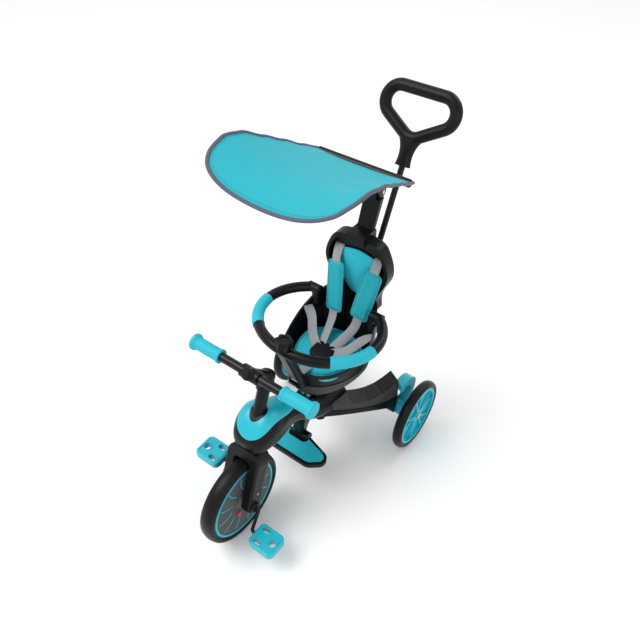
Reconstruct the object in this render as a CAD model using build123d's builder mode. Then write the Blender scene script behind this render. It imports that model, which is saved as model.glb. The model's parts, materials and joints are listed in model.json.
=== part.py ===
from build123d import *
import math
import os

os.makedirs("parts", exist_ok=True)

# A children's tricycle with a push bar, a canopy and a safety ring.
# Millimetres, +Z up. The front wheel points along -Y and the child's left side is +X.

# Layout
WHEEL_BASE = 499.0
FRONT_AXLE_Y = -322.0
RAKE = 22.0
STEER_GAP = 0.6
RUNNING_FIT = 0.05
SEAT_GAP = 0.2
CORNER_EASE = 0.55

# Front wheel
FRONT_WHEEL_R = 125.0
FRONT_TYRE_W = 42.0
FRONT_TYRE_T = 19.0
RIM_RING_T = 7.0
FRONT_RIM_W = 36.0
FRONT_DISC_W = 33.0
FRONT_HUB_R = 20.0
INLAY_COUNT = 12
INLAY_W = 2.6
INLAY_DEPTH = 1.2
INLAY_INNER_R = 46.0
INLAY_MARGIN = 7.0
INLAY_BEND = 5.0
CLUTCH_R = 8.0
CLUTCH_OFFSET = 38.0
CLUTCH_ANGLE = 228.0
CLUTCH_TRAVEL = 3.0

# Crank and pedals
CRANK_ROD_R = 4.5
CRANK_LENGTH = 64.0
CRANK_ANGLE = 239.0
CRANK_ARM_X = 63.0
CRANK_BEND_R = 7.0
COLLAR_R = 14.0
COLLAR_T = 8.0
PEDAL_INNER_X = 74.0
PEDAL_LENGTH = 74.0
PEDAL_W = 64.0
PEDAL_T = 20.0
PEDAL_HOLE_R = 10.0
PEDAL_SLOT = 11.0
PEDAL_SLOT_LENGTH = 24.0

# Fork, column and handlebar
FORK_GAP = 50.0
FORK_LEG_T = 24.0
FORK_END_R = 22.0
FORK_TOP_DEPTH = 44.0
FORK_SHOULDER = 30.0
FORK_ARCH_R = 10.0
FORK_EDGE_R = 6.0
CROWN_NECK_HALF = 24.0
TYRE_GAP = 6.0
CROWN_H = 29.0
COLUMN_R = 15.0
HEAD_TUBE = 92.0
BUSH_T = 5.0
BUSH_LIP = 1.5
BAR_HEIGHT = 381.0
BAR_FORWARD = 62.0
BAR_R = 11.0
BAR_HALF = 168.0
STEM_DROP = 46.0
CLAMP_R = 15.0
CLAMP_SLEEVE_R = 19.5
CLAMP_SLEEVE_H = 48.0
CLAMP_NOSE = 20.0
GRIP_LENGTH = 80.0
GRIP_R = 15.5
GRIP_FLANGE_R = 20.0
BUTTON_R = 8.5
BUTTON_STAND = 4.0
BUTTON_TRAVEL = 3.0
SCREW_R = 3.2

# Rear wheels
REAR_WHEEL_R = 104.0
REAR_TYRE_W = 28.0
REAR_TRACK = 422.0
REAR_TYRE_T = 17.0
REAR_RING_T = 7.0
REAR_RIM_W = 24.0
REAR_WEB_T = 5.0
REAR_HUB_R = 19.0
SPOKE_COUNT = 5
SPOKE_W = 5.0
SPOKE_SPREAD = 15.0
SPOKE_STAND = 6.0
AXLE_R = 5.0
AXLE_HEAD_R = 10.0
HOUSING_R = 26.0
HOUSING_START = 108.0
HOUSING_INSET = 45.0
BRACKET_HUB_R = 23.0
BRACKET_T = 26.0

# Frame
COVER_T = 2.5
LEG_SEAM_GAP = 0.2
TREAD_RIBS = 6
TREAD_RIB_PITCH = 9.0
TREAD_RIB_W = 3.0
TREAD_RIB_DEPTH = 1.6
MOUNT_HALF = 24.0
BOLT_R = 6.0
MOUNT_FRONT = -34.0
MOUNT_REAR = 54.0
MOUNT_FLANGE = 26.0
MOUNT_FLANGE_T = 7.0
COVER_NOSE_HALF = 46.0
COVER_NOSE = 36.0
COVER_WAIST_HALF = 28.0
COVER_WAIST_Y = -128.0
COVER_TAIL_HALF = 38.0
COVER_TAIL_Y = 14.0

# Footrest
FOOTREST_Y = -74.0
FOOTREST_TOP = 118.0
FOOTREST_T = 17.0
FOOTREST_REACH = 74.0
FOOTREST_HALF = 108.0
FOOTREST_BARREL_R = 15.0
FOOTREST_POD_HALF = 15.0
FOOTREST_LUG = 11.0
FOOTREST_PIN_R = 5.0
MAT_T = 3.0
MAT_SINK = 2.0
MAT_BORDER = 8.0
FOOTREST_TIP_BACK = 38.0
FOOTREST_TIP_R = 23.0
FOOTREST_FRONT_HALF = 64.0
FOOTREST_CORNER_R = 30.0
FOOTREST_TAIL = 6.0
FOOTREST_TAIL_HALF = 22.0
FOOTREST_TAIL_R = 14.0

# Release knob under the frame
KNOB_Y = 13.0
KNOB_R = 18.0
KNOB_H = 22.0
KNOB_DROP = 19.0

# Seat
SKIRT_BOTTOM = 288.0
SEAT_SPLIT = 330.0
SEAT_WALL = 5.0
SEAT_FLOOR_T = 6.0
BACK_FRONT_Y = 178.0
BACK_T = 20.0
BACK_RIM = 17.0
BACK_RIM_T = 10.0
BACK_TOP = 632.0
BACK_PAD_T = 9.0
SEAT_PAD_T = 13.0
STRAP_W = 25.0
STRAP_T = 1.8
STRAP_FIT = 0.4
SHOULDER_PAD_W = 52.0
SHOULDER_PAD_T = 11.0
BACK_FOOT = 428.0
BACK_FOOT_HALF = 66.0
BACK_WAIST = 470.0
BACK_WAIST_HALF = 66.0
BACK_HEAD = 543.0
BACK_HEAD_HALF = 92.0
BACK_SHOULDER = 604.0
BACK_SHOULDER_HALF = 76.0
SLOT_X = 57.0
SLOT_Z = 580.0
TRIM_X = 70.0
TRIM_Z = 362.0
TRIM_LENGTH = 34.0
TRIM_H = 9.0
CROTCH_SLOT_Z = 360.0
BACK_PAD_TOP = 586.0
BACK_PAD_FOOT = 449.0
BACK_PAD_HALF = 50.0
BACK_PAD_FOOT_HALF = 34.0
BUCKLE_Y = 24.0
BUCKLE_W = 58.0
BUCKLE_L = 54.0
BUCKLE_T = 13.0

# Safety ring
RING_A = 157.0
RING_B = 140.8
RING_Y = 13.0
RING_Z = 467.6
RING_TILT = 6.2
RING_R = 13.5
RING_GRIP_T = 1.5
RING_END_ANGLE = 48.5
RING_PIN_R = 5.0
RING_KNOB_R = 21.0
RING_KNOB_H = 20.0
RING_LOBES = 6
RING_LUG_T = 16.0
RING_BOSS = 1.5
RING_STEM = 8.0
RING_GRIP_START = -48.0
RING_GRIP_SWEEP = 44.0
POST_W = 34.0
POST_T = 24.0

# Push bar
PUSH_LEAN = 24.6
PUSH_FOOT_Y = 88.0
PUSH_FOOT_Z = 165.0
LOWER_TUBE_R = 11.0
LOWER_TUBE_START = 22.0
LOWER_TUBE_END = 400.0
UPPER_TUBE_R = 8.0
UPPER_TUBE_START = 325.0
UPPER_TUBE_END = 655.0
PUSH_TRAVEL = 150.0
HANDLE_START = 630.0
HANDLE_TOP = 809.0
HANDLE_LOOP_R = 15.3
HANDLE_HALF = 192.0
SOCKET_R = 17.0
SOCKET_END = 78.0
HANDLE_FOOT = 692.5
HANDLE_CORNER_R = 38.0

# Canopy
CANOPY_POST_W = 46.0
CANOPY_PIVOT_Y = 228.0
CANOPY_PIVOT_Z = 735.0
CANOPY_EYE_R = 14.0
CANOPY_PIN_R = 5.0
CANOPY_BAR_Y = 172.0
CANOPY_BAR_Z = 820.0
CANOPY_BAR_R = 9.5
CANOPY_BAR_HALF = 122.0
SHEET_T = 2.0
PIPING_R = 4.5
CLAMP_DROP = 24.0
SHEET_EASE = 2.0

# Worked-out places
STEER_DIR = Vector(0, math.sin(math.radians(RAKE)), math.cos(math.radians(RAKE)))
STEER_BACK = Vector(0, math.cos(math.radians(RAKE)), -math.sin(math.radians(RAKE)))
FRONT_AXLE = Vector(0, FRONT_AXLE_Y, FRONT_WHEEL_R)
FRONT_RIM_R = FRONT_WHEEL_R - FRONT_TYRE_T
INLAY_OUTER_R = FRONT_RIM_R - RIM_RING_T - INLAY_MARGIN
REAR_RIM_R = REAR_WHEEL_R - REAR_TYRE_T
REAR_AXLE_Y = FRONT_AXLE_Y + WHEEL_BASE
CROWN_BASE = FRONT_WHEEL_R + TYRE_GAP
CROWN_TOP = CROWN_BASE + CROWN_H
HEAD_BASE = CROWN_TOP + STEER_GAP
HEAD = FRONT_AXLE + STEER_DIR * (HEAD_BASE + HEAD_TUBE / 2)
FORK_HALF = FORK_GAP / 2 + FORK_LEG_T
BUSH_R = COLUMN_R + RUNNING_FIT + BUSH_T
STEM_DIR = Vector(0, math.cos(math.radians(STEM_DROP)), -math.sin(math.radians(STEM_DROP)))
STEM_REACH = BAR_FORWARD / math.cos(math.radians(STEM_DROP - RAKE))
COLUMN_TOP = BAR_HEIGHT - BAR_FORWARD * math.tan(math.radians(STEM_DROP - RAKE))
PUSH_DIR = Vector(0, math.sin(math.radians(PUSH_LEAN)), math.cos(math.radians(PUSH_LEAN)))
CRANK_SWING = Vector(
    0,
    CRANK_LENGTH * math.cos(math.radians(CRANK_ANGLE)),
    CRANK_LENGTH * math.sin(math.radians(CRANK_ANGLE)),
)


def steer_plane(height, back=0.0):
    """Plane square to the steering axis, at a height above the front axle."""
    origin = FRONT_AXLE + STEER_DIR * height + STEER_BACK * back
    return Plane(origin=origin, x_dir=(1, 0, 0), z_dir=STEER_DIR)


def steer_side(x=0.0):
    """Side view of the steering gear: across is backwards, up is along the steering axis."""
    origin = FRONT_AXLE + Vector(x, 0, 0)
    return Plane(origin=origin, x_dir=STEER_BACK, z_dir=(1, 0, 0))


def cross_plane(y, z=0.0):
    """Upright plane across the tricycle, with X across and Z up."""
    return Plane(origin=(0, y, z), x_dir=(1, 0, 0), z_dir=(0, -1, 0))


def side_plane(x, y=0.0, z=0.0):
    """Upright plane along the tricycle, with Y across and Z up."""
    return Plane(origin=(x, y, z), x_dir=(0, 1, 0), z_dir=(1, 0, 0))


def push_plane(distance):
    """Plane square to the push bar, at a distance from its foot."""
    origin = Vector(0, PUSH_FOOT_Y, PUSH_FOOT_Z) + PUSH_DIR * distance
    return Plane(origin=origin, x_dir=(1, 0, 0), z_dir=PUSH_DIR)


def rounded(plane, width, height, radius):
    """Rectangle with eased corners on a plane, as a section for a loft."""
    x = width / 2
    y = height / 2
    pull = radius * (1 - CORNER_EASE)
    with BuildSketch(plane) as section:
        with BuildLine():
            Line((x, radius - y), (x, y - radius))
            Bezier((x, y - radius), (x, y - pull), (x - pull, y), (x - radius, y))
            Line((x - radius, y), (radius - x, y))
            Bezier((radius - x, y), (pull - x, y), (-x, y - pull), (-x, y - radius))
            Line((-x, y - radius), (-x, radius - y))
            Bezier((-x, radius - y), (-x, pull - y), (pull - x, -y), (radius - x, -y))
            Line((radius - x, -y), (x - radius, -y))
            Bezier((x - radius, -y), (x - pull, -y), (x, pull - y), (x, radius - y))
        make_face()
    return section.sketch


def rod_x(radius, x0, x1, y, z):
    """Round bar along X."""
    with BuildPart() as rod:
        with BuildSketch(side_plane(x0, y, z)):
            Circle(radius)
        extrude(amount=x1 - x0)
    return rod.part


def tyre(radius, width, rim_radius, axle_x, axle_y):
    """Tyre with a rounded crown and bulging walls, about an axle along X."""
    half = width / 2 - 0.24
    bead = half - 3.5
    shoulder = half * 0.62
    wall = rim_radius + 0.5 * (radius - rim_radius)
    axle = Vector(axle_x, axle_y, radius)
    with BuildPart() as body:
        with BuildSketch(Plane(origin=axle, x_dir=(1, 0, 0), z_dir=(0, -1, 0))):
            with BuildLine():
                Line((-bead, rim_radius), (bead, rim_radius))
                ThreePointArc((bead, rim_radius), (half, wall), (shoulder, radius - 2.4))
                ThreePointArc((shoulder, radius - 2.4), (0, radius), (-shoulder, radius - 2.4))
                ThreePointArc((-shoulder, radius - 2.4), (-half, wall), (-bead, rim_radius))
            make_face()
        revolve(axis=Axis(axle, (1, 0, 0)))
    return body.part


# Front wheel
with BuildPart() as front_tyre:
    add(tyre(FRONT_WHEEL_R, FRONT_TYRE_W, FRONT_RIM_R, 0, FRONT_AXLE_Y))
front_tyre.part.label = "front_tyre"
export_step(front_tyre.part, "parts/front_tyre.step")

front_disc_r = FRONT_RIM_R - RIM_RING_T
with BuildPart() as front_rim:
    with BuildSketch(cross_plane(FRONT_AXLE_Y, FRONT_WHEEL_R)):
        with BuildLine():
            Polyline(
                (-FRONT_RIM_W / 2, front_disc_r),
                (-FRONT_RIM_W / 2, FRONT_RIM_R - 1.5),
                (-FRONT_RIM_W / 2 + 1.5, FRONT_RIM_R),
                (FRONT_RIM_W / 2 - 1.5, FRONT_RIM_R),
                (FRONT_RIM_W / 2, FRONT_RIM_R - 1.5),
                (FRONT_RIM_W / 2, front_disc_r),
                close=True,
            )
        make_face()
    revolve(axis=Axis(FRONT_AXLE, (1, 0, 0)))
front_rim.part.label = "front_rim"
export_step(front_rim.part, "parts/front_rim.step")


def disc_inlays(x, toward):
    """Curved lines let into one face of the front disc."""
    with BuildSketch() as bow:
        with BuildLine() as bow_line:
            ThreePointArc(
                (INLAY_INNER_R, 0),
                ((INLAY_INNER_R + INLAY_OUTER_R) / 2, INLAY_BEND),
                (INLAY_OUTER_R, 0),
            )
        trace(line_width=INLAY_W)
    with BuildPart() as lines:
        with BuildSketch(side_plane(x, FRONT_AXLE_Y, FRONT_WHEEL_R)):
            with PolarLocations(0, INLAY_COUNT):
                add(bow.sketch)
        extrude(amount=-toward * INLAY_DEPTH)
    return lines.part


clutch_y = FRONT_AXLE_Y + CLUTCH_OFFSET * math.cos(math.radians(CLUTCH_ANGLE))
clutch_z = FRONT_WHEEL_R + CLUTCH_OFFSET * math.sin(math.radians(CLUTCH_ANGLE))
clutch_face = FRONT_DISC_W / 2
with BuildPart() as front_inlays:
    add(disc_inlays(clutch_face, 1))
    add(disc_inlays(-clutch_face, -1))
front_inlays.part.label = "front_inlays"
export_step(front_inlays.part, "parts/front_inlays.step")

with BuildPart() as front_disc:
    with BuildSketch(cross_plane(FRONT_AXLE_Y, FRONT_WHEEL_R)):
        with BuildLine():
            Polyline(
                (-FORK_GAP / 2 + 1, CRANK_ROD_R + RUNNING_FIT),
                (-FORK_GAP / 2 + 1, FRONT_HUB_R),
                (-FRONT_DISC_W / 2, FRONT_HUB_R + 8),
                (-FRONT_DISC_W / 2, front_disc_r),
                (FRONT_DISC_W / 2, front_disc_r),
                (FRONT_DISC_W / 2, FRONT_HUB_R + 8),
                (FORK_GAP / 2 - 1, FRONT_HUB_R),
                (FORK_GAP / 2 - 1, CRANK_ROD_R + RUNNING_FIT),
                close=True,
            )
        make_face()
    revolve(axis=Axis(FRONT_AXLE, (1, 0, 0)))
    add(
        rod_x(
            CLUTCH_R + RUNNING_FIT,
            clutch_face - 6 - CLUTCH_TRAVEL,
            clutch_face + 2,
            clutch_y,
            clutch_z,
        ),
        mode=Mode.SUBTRACT,
    )
    add(front_inlays.part, mode=Mode.SUBTRACT)
front_disc.part.label = "front_disc"
export_step(front_disc.part, "parts/front_disc.step")

with BuildPart() as clutch_button:
    add(rod_x(CLUTCH_R, clutch_face - 6, clutch_face + 4, clutch_y, clutch_z))
    fillet(clutch_button.edges().sort_by(Axis.X)[-1], radius=2)
clutch_button.part.label = "clutch_button"
export_step(clutch_button.part, "parts/clutch_button.step")

# Crank: one bent rod, and a pedal on each end
pedal_spindle = PEDAL_INNER_X + PEDAL_LENGTH - 2 * PEDAL_HOLE_R - 12
with BuildPart() as crank_rod:
    with BuildLine() as crank_path:
        FilletPolyline(
            FRONT_AXLE - CRANK_SWING - Vector(pedal_spindle, 0, 0),
            FRONT_AXLE - CRANK_SWING - Vector(CRANK_ARM_X, 0, 0),
            FRONT_AXLE - Vector(CRANK_ARM_X, 0, 0),
            FRONT_AXLE + Vector(CRANK_ARM_X, 0, 0),
            FRONT_AXLE + CRANK_SWING + Vector(CRANK_ARM_X, 0, 0),
            FRONT_AXLE + CRANK_SWING + Vector(pedal_spindle, 0, 0),
            radius=CRANK_BEND_R,
        )
    with BuildSketch(Plane(origin=crank_path.line @ 0, z_dir=crank_path.line % 0)):
        Circle(CRANK_ROD_R)
    sweep()
crank_rod.part.label = "crank_rod"
export_step(crank_rod.part, "parts/crank_rod.step")

with BuildPart() as crank_collars:
    with BuildSketch(side_plane(FORK_HALF, FRONT_AXLE_Y, FRONT_WHEEL_R)):
        Circle(COLLAR_R)
        Circle(CRANK_ROD_R + RUNNING_FIT, mode=Mode.SUBTRACT)
    extrude(amount=COLLAR_T, taper=12)
    mirror(about=Plane.YZ)
crank_collars.part.label = "crank_collars"
export_step(crank_collars.part, "parts/crank_collars.step")


def pedal(side):
    """Open pedal plate with a bored spine, two slots and a round hole at its outer end."""
    centre = FRONT_AXLE + CRANK_SWING * side
    inner = side * PEDAL_INNER_X
    half = PEDAL_W / 2
    slot_y = half - 8 - PEDAL_SLOT / 2
    spine_r = CRANK_ROD_R + 5
    with BuildPart() as body:
        with BuildSketch(Plane.XY.offset(centre.Z - PEDAL_T / 2)) as plate:
            with Locations((inner + side * PEDAL_LENGTH / 2, centre.Y)):
                RectangleRounded(PEDAL_LENGTH, PEDAL_W, 14)
            with Locations((inner + side * (PEDAL_LENGTH - PEDAL_HOLE_R - 8), centre.Y)):
                Circle(PEDAL_HOLE_R, mode=Mode.SUBTRACT)
            for offset_y in (-slot_y, slot_y):
                with Locations((inner + side * (PEDAL_SLOT_LENGTH / 2 + 10), centre.Y + offset_y)):
                    SlotOverall(PEDAL_SLOT_LENGTH, PEDAL_SLOT, mode=Mode.SUBTRACT)
        extrude(amount=PEDAL_T)
        fillet(body.faces().sort_by(Axis.Z)[-1].outer_wire().edges(), radius=3)
        fillet(body.faces().sort_by(Axis.Z)[0].outer_wire().edges(), radius=3)
        bore_end = side * (pedal_spindle + 1)
        add(
            rod_x(
                CRANK_ROD_R + RUNNING_FIT,
                min(inner - side * 8, bore_end),
                max(inner - side * 8, bore_end),
                centre.Y,
                centre.Z,
            ),
            mode=Mode.SUBTRACT,
        )
    return body.part


with BuildPart() as pedal_left:
    add(pedal(1))
pedal_left.part.label = "pedal_left"
export_step(pedal_left.part, "parts/pedal_left.step")

with BuildPart() as pedal_right:
    add(pedal(-1))
pedal_right.part.label = "pedal_right"
export_step(pedal_right.part, "parts/pedal_right.step")

# Fork: a crown over the tyre and two legs that end in round eyes
fork_front = Plane(origin=FRONT_AXLE, x_dir=(1, 0, 0), z_dir=STEER_BACK * -1)
with BuildPart() as fork:
    with BuildSketch(fork_front):
        with BuildLine():
            Line((0, CROWN_TOP), (CROWN_NECK_HALF, CROWN_TOP))
            TangentArc(
                (FORK_HALF, CROWN_TOP - FORK_SHOULDER),
                (CROWN_NECK_HALF, CROWN_TOP),
                tangent=(0, 1),
            )
            Polyline(
                (FORK_HALF, CROWN_TOP - FORK_SHOULDER),
                (FORK_HALF, -FORK_END_R - 1),
                (FORK_GAP / 2, -FORK_END_R - 1),
                (FORK_GAP / 2, CROWN_BASE - FORK_ARCH_R),
            )
            RadiusArc(
                (FORK_GAP / 2, CROWN_BASE - FORK_ARCH_R),
                (FORK_GAP / 2 - FORK_ARCH_R, CROWN_BASE),
                -FORK_ARCH_R,
            )
            Line((FORK_GAP / 2 - FORK_ARCH_R, CROWN_BASE), (0, CROWN_BASE))
            mirror(about=Plane.YZ)
        make_face()
    extrude(amount=FORK_TOP_DEPTH + 20, both=True)
    with BuildSketch(steer_side(-FORK_HALF - 1)):
        with BuildLine():
            Polyline(
                (-FORK_END_R, 0),
                (-FORK_TOP_DEPTH / 2 - 4, CROWN_BASE - 20),
                (-FORK_TOP_DEPTH / 2 - 6, CROWN_TOP),
                (FORK_TOP_DEPTH / 2 + 2, CROWN_TOP),
                (FORK_TOP_DEPTH / 2 - 4, CROWN_BASE - 30),
                (FORK_END_R, 0),
            )
            ThreePointArc((FORK_END_R, 0), (0, -FORK_END_R), (-FORK_END_R, 0))
        make_face()
    extrude(amount=2 * FORK_HALF + 2, mode=Mode.INTERSECT)
    outer_faces = [fork.faces().sort_by(Axis.X)[0], fork.faces().sort_by(Axis.X)[-1]]
    fillet([edge for face in outer_faces for edge in face.edges()], radius=FORK_EDGE_R)
    add(
        rod_x(
            CRANK_ROD_R + RUNNING_FIT,
            -FORK_HALF - 1,
            FORK_HALF + 1,
            FRONT_AXLE_Y,
            FRONT_WHEEL_R,
        ),
        mode=Mode.SUBTRACT,
    )
    with BuildSketch(steer_plane(CROWN_TOP)):
        Circle(COLUMN_R)
    extrude(amount=-CROWN_H / 2, mode=Mode.SUBTRACT)
fork.part.label = "fork"
export_step(fork.part, "parts/fork.step")

with BuildPart() as steering_column:
    with BuildSketch(steer_plane(CROWN_TOP - CROWN_H / 2)):
        Circle(COLUMN_R)
    extrude(amount=COLUMN_TOP - CROWN_TOP + CROWN_H / 2)
steering_column.part.label = "steering_column"
export_step(steering_column.part, "parts/steering_column.step")

# Handlebar: a sleeve on the column with a forward barrel that holds the tube
clamp_low = COLUMN_TOP + CLAMP_R - CLAMP_SLEEVE_H
bar_axis = FRONT_AXLE + STEER_DIR * BAR_HEIGHT - STEER_BACK * BAR_FORWARD
barrel = Plane(origin=bar_axis - STEM_DIR * CLAMP_NOSE, x_dir=(1, 0, 0), z_dir=STEM_DIR)
with BuildPart() as handlebar_clamp:
    with BuildSketch(steer_plane(clamp_low)):
        Circle(CLAMP_SLEEVE_R)
    extrude(amount=CLAMP_SLEEVE_H)
    fillet(handlebar_clamp.edges().filter_by(GeomType.CIRCLE).sort_by(Axis.Z)[-1], radius=9)
    fillet(handlebar_clamp.edges().filter_by(GeomType.CIRCLE).sort_by(Axis.Z)[0], radius=2)
    with BuildSketch(barrel):
        Circle(CLAMP_R)
    extrude(amount=CLAMP_NOSE + STEM_REACH)
    fillet(handlebar_clamp.faces().sort_by(Axis.Y)[0].edges(), radius=3)
    add(rod_x(BAR_R + 5, -CLAMP_R - 9, CLAMP_R + 9, bar_axis.Y, bar_axis.Z))
    add(
        rod_x(BAR_R, -CLAMP_R - 10, CLAMP_R + 10, bar_axis.Y, bar_axis.Z),
        mode=Mode.SUBTRACT,
    )
    with BuildSketch(steer_plane(clamp_low - 1)):
        Circle(COLUMN_R)
    extrude(amount=COLUMN_TOP - clamp_low + 1, mode=Mode.SUBTRACT)
    with BuildSketch(barrel.offset(-1)):
        Circle(BUTTON_R + RUNNING_FIT)
    extrude(amount=1 + CLAMP_NOSE - BAR_R - 2, mode=Mode.SUBTRACT)
handlebar_clamp.part.label = "handlebar_clamp"
export_step(handlebar_clamp.part, "parts/handlebar_clamp.step")

with BuildPart() as clamp_button:
    with BuildSketch(barrel.offset(-BUTTON_STAND)):
        Circle(BUTTON_R)
    extrude(amount=BUTTON_STAND + CLAMP_NOSE - BAR_R - 2 - BUTTON_TRAVEL - 0.3)
    fillet(clamp_button.faces().sort_by(Axis.Y)[0].edges(), radius=1.5)
clamp_button.part.label = "clamp_button"
export_step(clamp_button.part, "parts/clamp_button.step")

with BuildPart() as steering_screws:
    for side in (-1, 1):
        with BuildSketch(steer_side(side * FORK_HALF)):
            with Locations((0, 40)):
                Circle(SCREW_R)
        extrude(amount=side * 1.2)
steering_screws.part.label = "steering_screws"
export_step(steering_screws.part, "parts/steering_screws.step")

with BuildPart() as handlebar_tube:
    add(rod_x(BAR_R, -BAR_HALF, BAR_HALF, bar_axis.Y, bar_axis.Z))
handlebar_tube.part.label = "handlebar_tube"
export_step(handlebar_tube.part, "parts/handlebar_tube.step")


def grip():
    """Soft sleeve with an inner collar and an end flange, closed at its outer end."""
    inner = BAR_HALF - GRIP_LENGTH
    with BuildPart() as body:
        with BuildSketch(cross_plane(bar_axis.Y, bar_axis.Z)):
            with BuildLine():
                Polyline(
                    (inner, BAR_R),
                    (inner, GRIP_R + 1.5),
                    (inner + 6, GRIP_R + 1.5),
                    (inner + 9, GRIP_R),
                    (BAR_HALF - 12, GRIP_R),
                    (BAR_HALF - 4, GRIP_FLANGE_R),
                    (BAR_HALF + 2, GRIP_FLANGE_R),
                    (BAR_HALF + 4, GRIP_FLANGE_R - 3),
                    (BAR_HALF + 4, 0),
                    (BAR_HALF, 0),
                    (BAR_HALF, BAR_R),
                    close=True,
                )
            make_face()
        revolve(axis=Axis(bar_axis, (1, 0, 0)))
    return body.part


with BuildPart() as grips:
    add(grip())
    mirror(about=Plane.YZ)
grips.part.label = "grips"
export_step(grips.part, "parts/grips.step")

# Frame: stations of the head and spine as (y, bottom, top, half width)
SPINE = [
    (HEAD.Y - 42, HEAD.Z - 37, HEAD.Z - 14, 23),
    (HEAD.Y - 28, HEAD.Z - 45, HEAD.Z + 12, 44),
    (HEAD.Y - 4, HEAD.Z - 49, HEAD.Z + 36, 54),
    (HEAD.Y + 24, HEAD.Z - 54, HEAD.Z + 47, 57),
    (HEAD.Y + 50, HEAD.Z - 60, HEAD.Z + 41, 53),
    (HEAD.Y + 84, HEAD.Z - 68, HEAD.Z + 19, 44),
    (-110, 222, 298, 38),
    (-50, 172, 250, 43),
    (10, 147, 226, 50),
    (72, 140, 205, 46),
]


def spine(grow=0.0):
    """Head and spine of the frame, swollen by an amount on all sides."""
    sections = []
    for y, bottom, top, half in SPINE:
        height = top - bottom + 2 * grow
        plane = cross_plane(y, (top + bottom) / 2)
        sections.append(rounded(plane, 2 * (half + grow), height, 0.42 * min(height, 2 * half)))
    with BuildPart() as body:
        loft(sections=sections)
    return body.part


# Rear legs: stations as (x, y, bottom, seam, top, width)
LEG = [
    (16, -6, 150, 178, 206, 40),
    (52, 46, 142, 164, 192, 52),
    (88, 92, 136, 158, 182, 54),
    (118, 137, 124, 156, 196, 52),
    (137, 172, 112, 158, 220, 48),
]


def leg_direction(index):
    """Direction of the leg in plan at one of its stations."""
    before = LEG[max(index - 1, 0)]
    after = LEG[min(index + 1, len(LEG) - 1)]
    return Vector(after[0] - before[0], after[1] - before[1], 0).normalized()


def leg_part(low, high, lift=0.0):
    """Left leg between two of its levels, lofted through its stations."""
    sections = []
    for index, station in enumerate(LEG):
        along = leg_direction(index)
        bottom = station[low] + lift
        top = station[high]
        plane = Plane(
            origin=(station[0], station[1], (bottom + top) / 2),
            x_dir=(-along.Y, along.X, 0),
            z_dir=along,
        )
        sections.append(rounded(plane, station[5], top - bottom, 5))
    with BuildPart() as body:
        loft(sections=sections)
    return body.part


spine_solid = spine()
leg_low = leg_part(2, 3)
housing_outer = REAR_TRACK / 2 - REAR_TYRE_W / 2 - HOUSING_INSET
with BuildPart() as frame_main:
    add(spine_solid)
    add(leg_low)
    add(mirror(leg_low, about=Plane.YZ))
    for side in (-1, 1):
        start = min(side * HOUSING_START, side * housing_outer)
        stop = max(side * HOUSING_START, side * housing_outer)
        add(rod_x(HOUSING_R, start, stop, REAR_AXLE_Y, REAR_WHEEL_R))
    with BuildSketch(steer_plane(HEAD_BASE, -5)):
        Rectangle(160, 150)
    extrude(amount=-60, mode=Mode.SUBTRACT)
    with BuildSketch(steer_plane(HEAD_BASE - 1)):
        Circle(BUSH_R)
    extrude(amount=HEAD_TUBE + 60, mode=Mode.SUBTRACT)
    for side in (-1, 1):
        start = min(side * HOUSING_START, side * housing_outer)
        stop = max(side * HOUSING_START, side * housing_outer)
        add(
            rod_x(AXLE_R, start - 1, stop + 1, REAR_AXLE_Y, REAR_WHEEL_R),
            mode=Mode.SUBTRACT,
        )
frame_main.part.label = "frame_main"
export_step(frame_main.part, "parts/frame_main.step")

# Ribbed tops of the legs, above the seam with the main moulding
leg_top = leg_part(3, 4, LEG_SEAM_GAP)


def tread():
    """Left leg top: clear of the spine, with cross ribs on its rising end."""
    foot = Vector(LEG[-2][0], LEG[-2][1], LEG[-2][4])
    end = Vector(LEG[-1][0], LEG[-1][1], LEG[-1][4])
    along = (end - foot).normalized()
    across = Vector(-along.Y, along.X, 0).normalized()
    with BuildPart() as body:
        add(leg_top)
        add(spine_solid, mode=Mode.SUBTRACT)
        for index in range(TREAD_RIBS):
            place = end - along * (TREAD_RIB_PITCH * (index + 0.8))
            groove = Plane(origin=place, x_dir=across, z_dir=along.cross(across) * -1)
            with BuildSketch(groove.offset(2 * TREAD_RIB_DEPTH)):
                Rectangle(80, TREAD_RIB_W)
            extrude(amount=-3 * TREAD_RIB_DEPTH, mode=Mode.SUBTRACT)
    return body.part.solids().sort_by(SortBy.VOLUME)[-1]


tread_solid = tread()
with BuildPart() as leg_treads:
    add(tread_solid)
    mirror(about=Plane.YZ)
leg_treads.part.label = "leg_treads"
export_step(leg_treads.part, "parts/leg_treads.step")

# Seat mount on the spine, with a bolted flange at its front
flange_rise = (SPINE[-4][2] - SPINE[-3][2]) / (SPINE[-3][0] - SPINE[-4][0])
flange_top = SPINE[-3][2] + (SPINE[-3][0] - MOUNT_FRONT) * flange_rise + MOUNT_FLANGE_T
with BuildPart() as seat_mount:
    with BuildSketch(side_plane(-MOUNT_HALF)):
        with BuildLine():
            Polyline(
                (MOUNT_FRONT - MOUNT_FLANGE, flange_top + MOUNT_FLANGE * flange_rise),
                (MOUNT_FRONT, flange_top),
                (MOUNT_FRONT - 8, SKIRT_BOTTOM),
                (MOUNT_REAR, SKIRT_BOTTOM),
                (MOUNT_REAR, 190),
                (MOUNT_FRONT - MOUNT_FLANGE, 190),
                close=True,
            )
        make_face()
    extrude(amount=2 * MOUNT_HALF)
    fillet(seat_mount.edges().filter_by(Axis.Z), radius=6)
    add(spine_solid, mode=Mode.SUBTRACT)
seat_mount.part.label = "seat_mount"
export_step(seat_mount.part, "parts/seat_mount.step")

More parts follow.
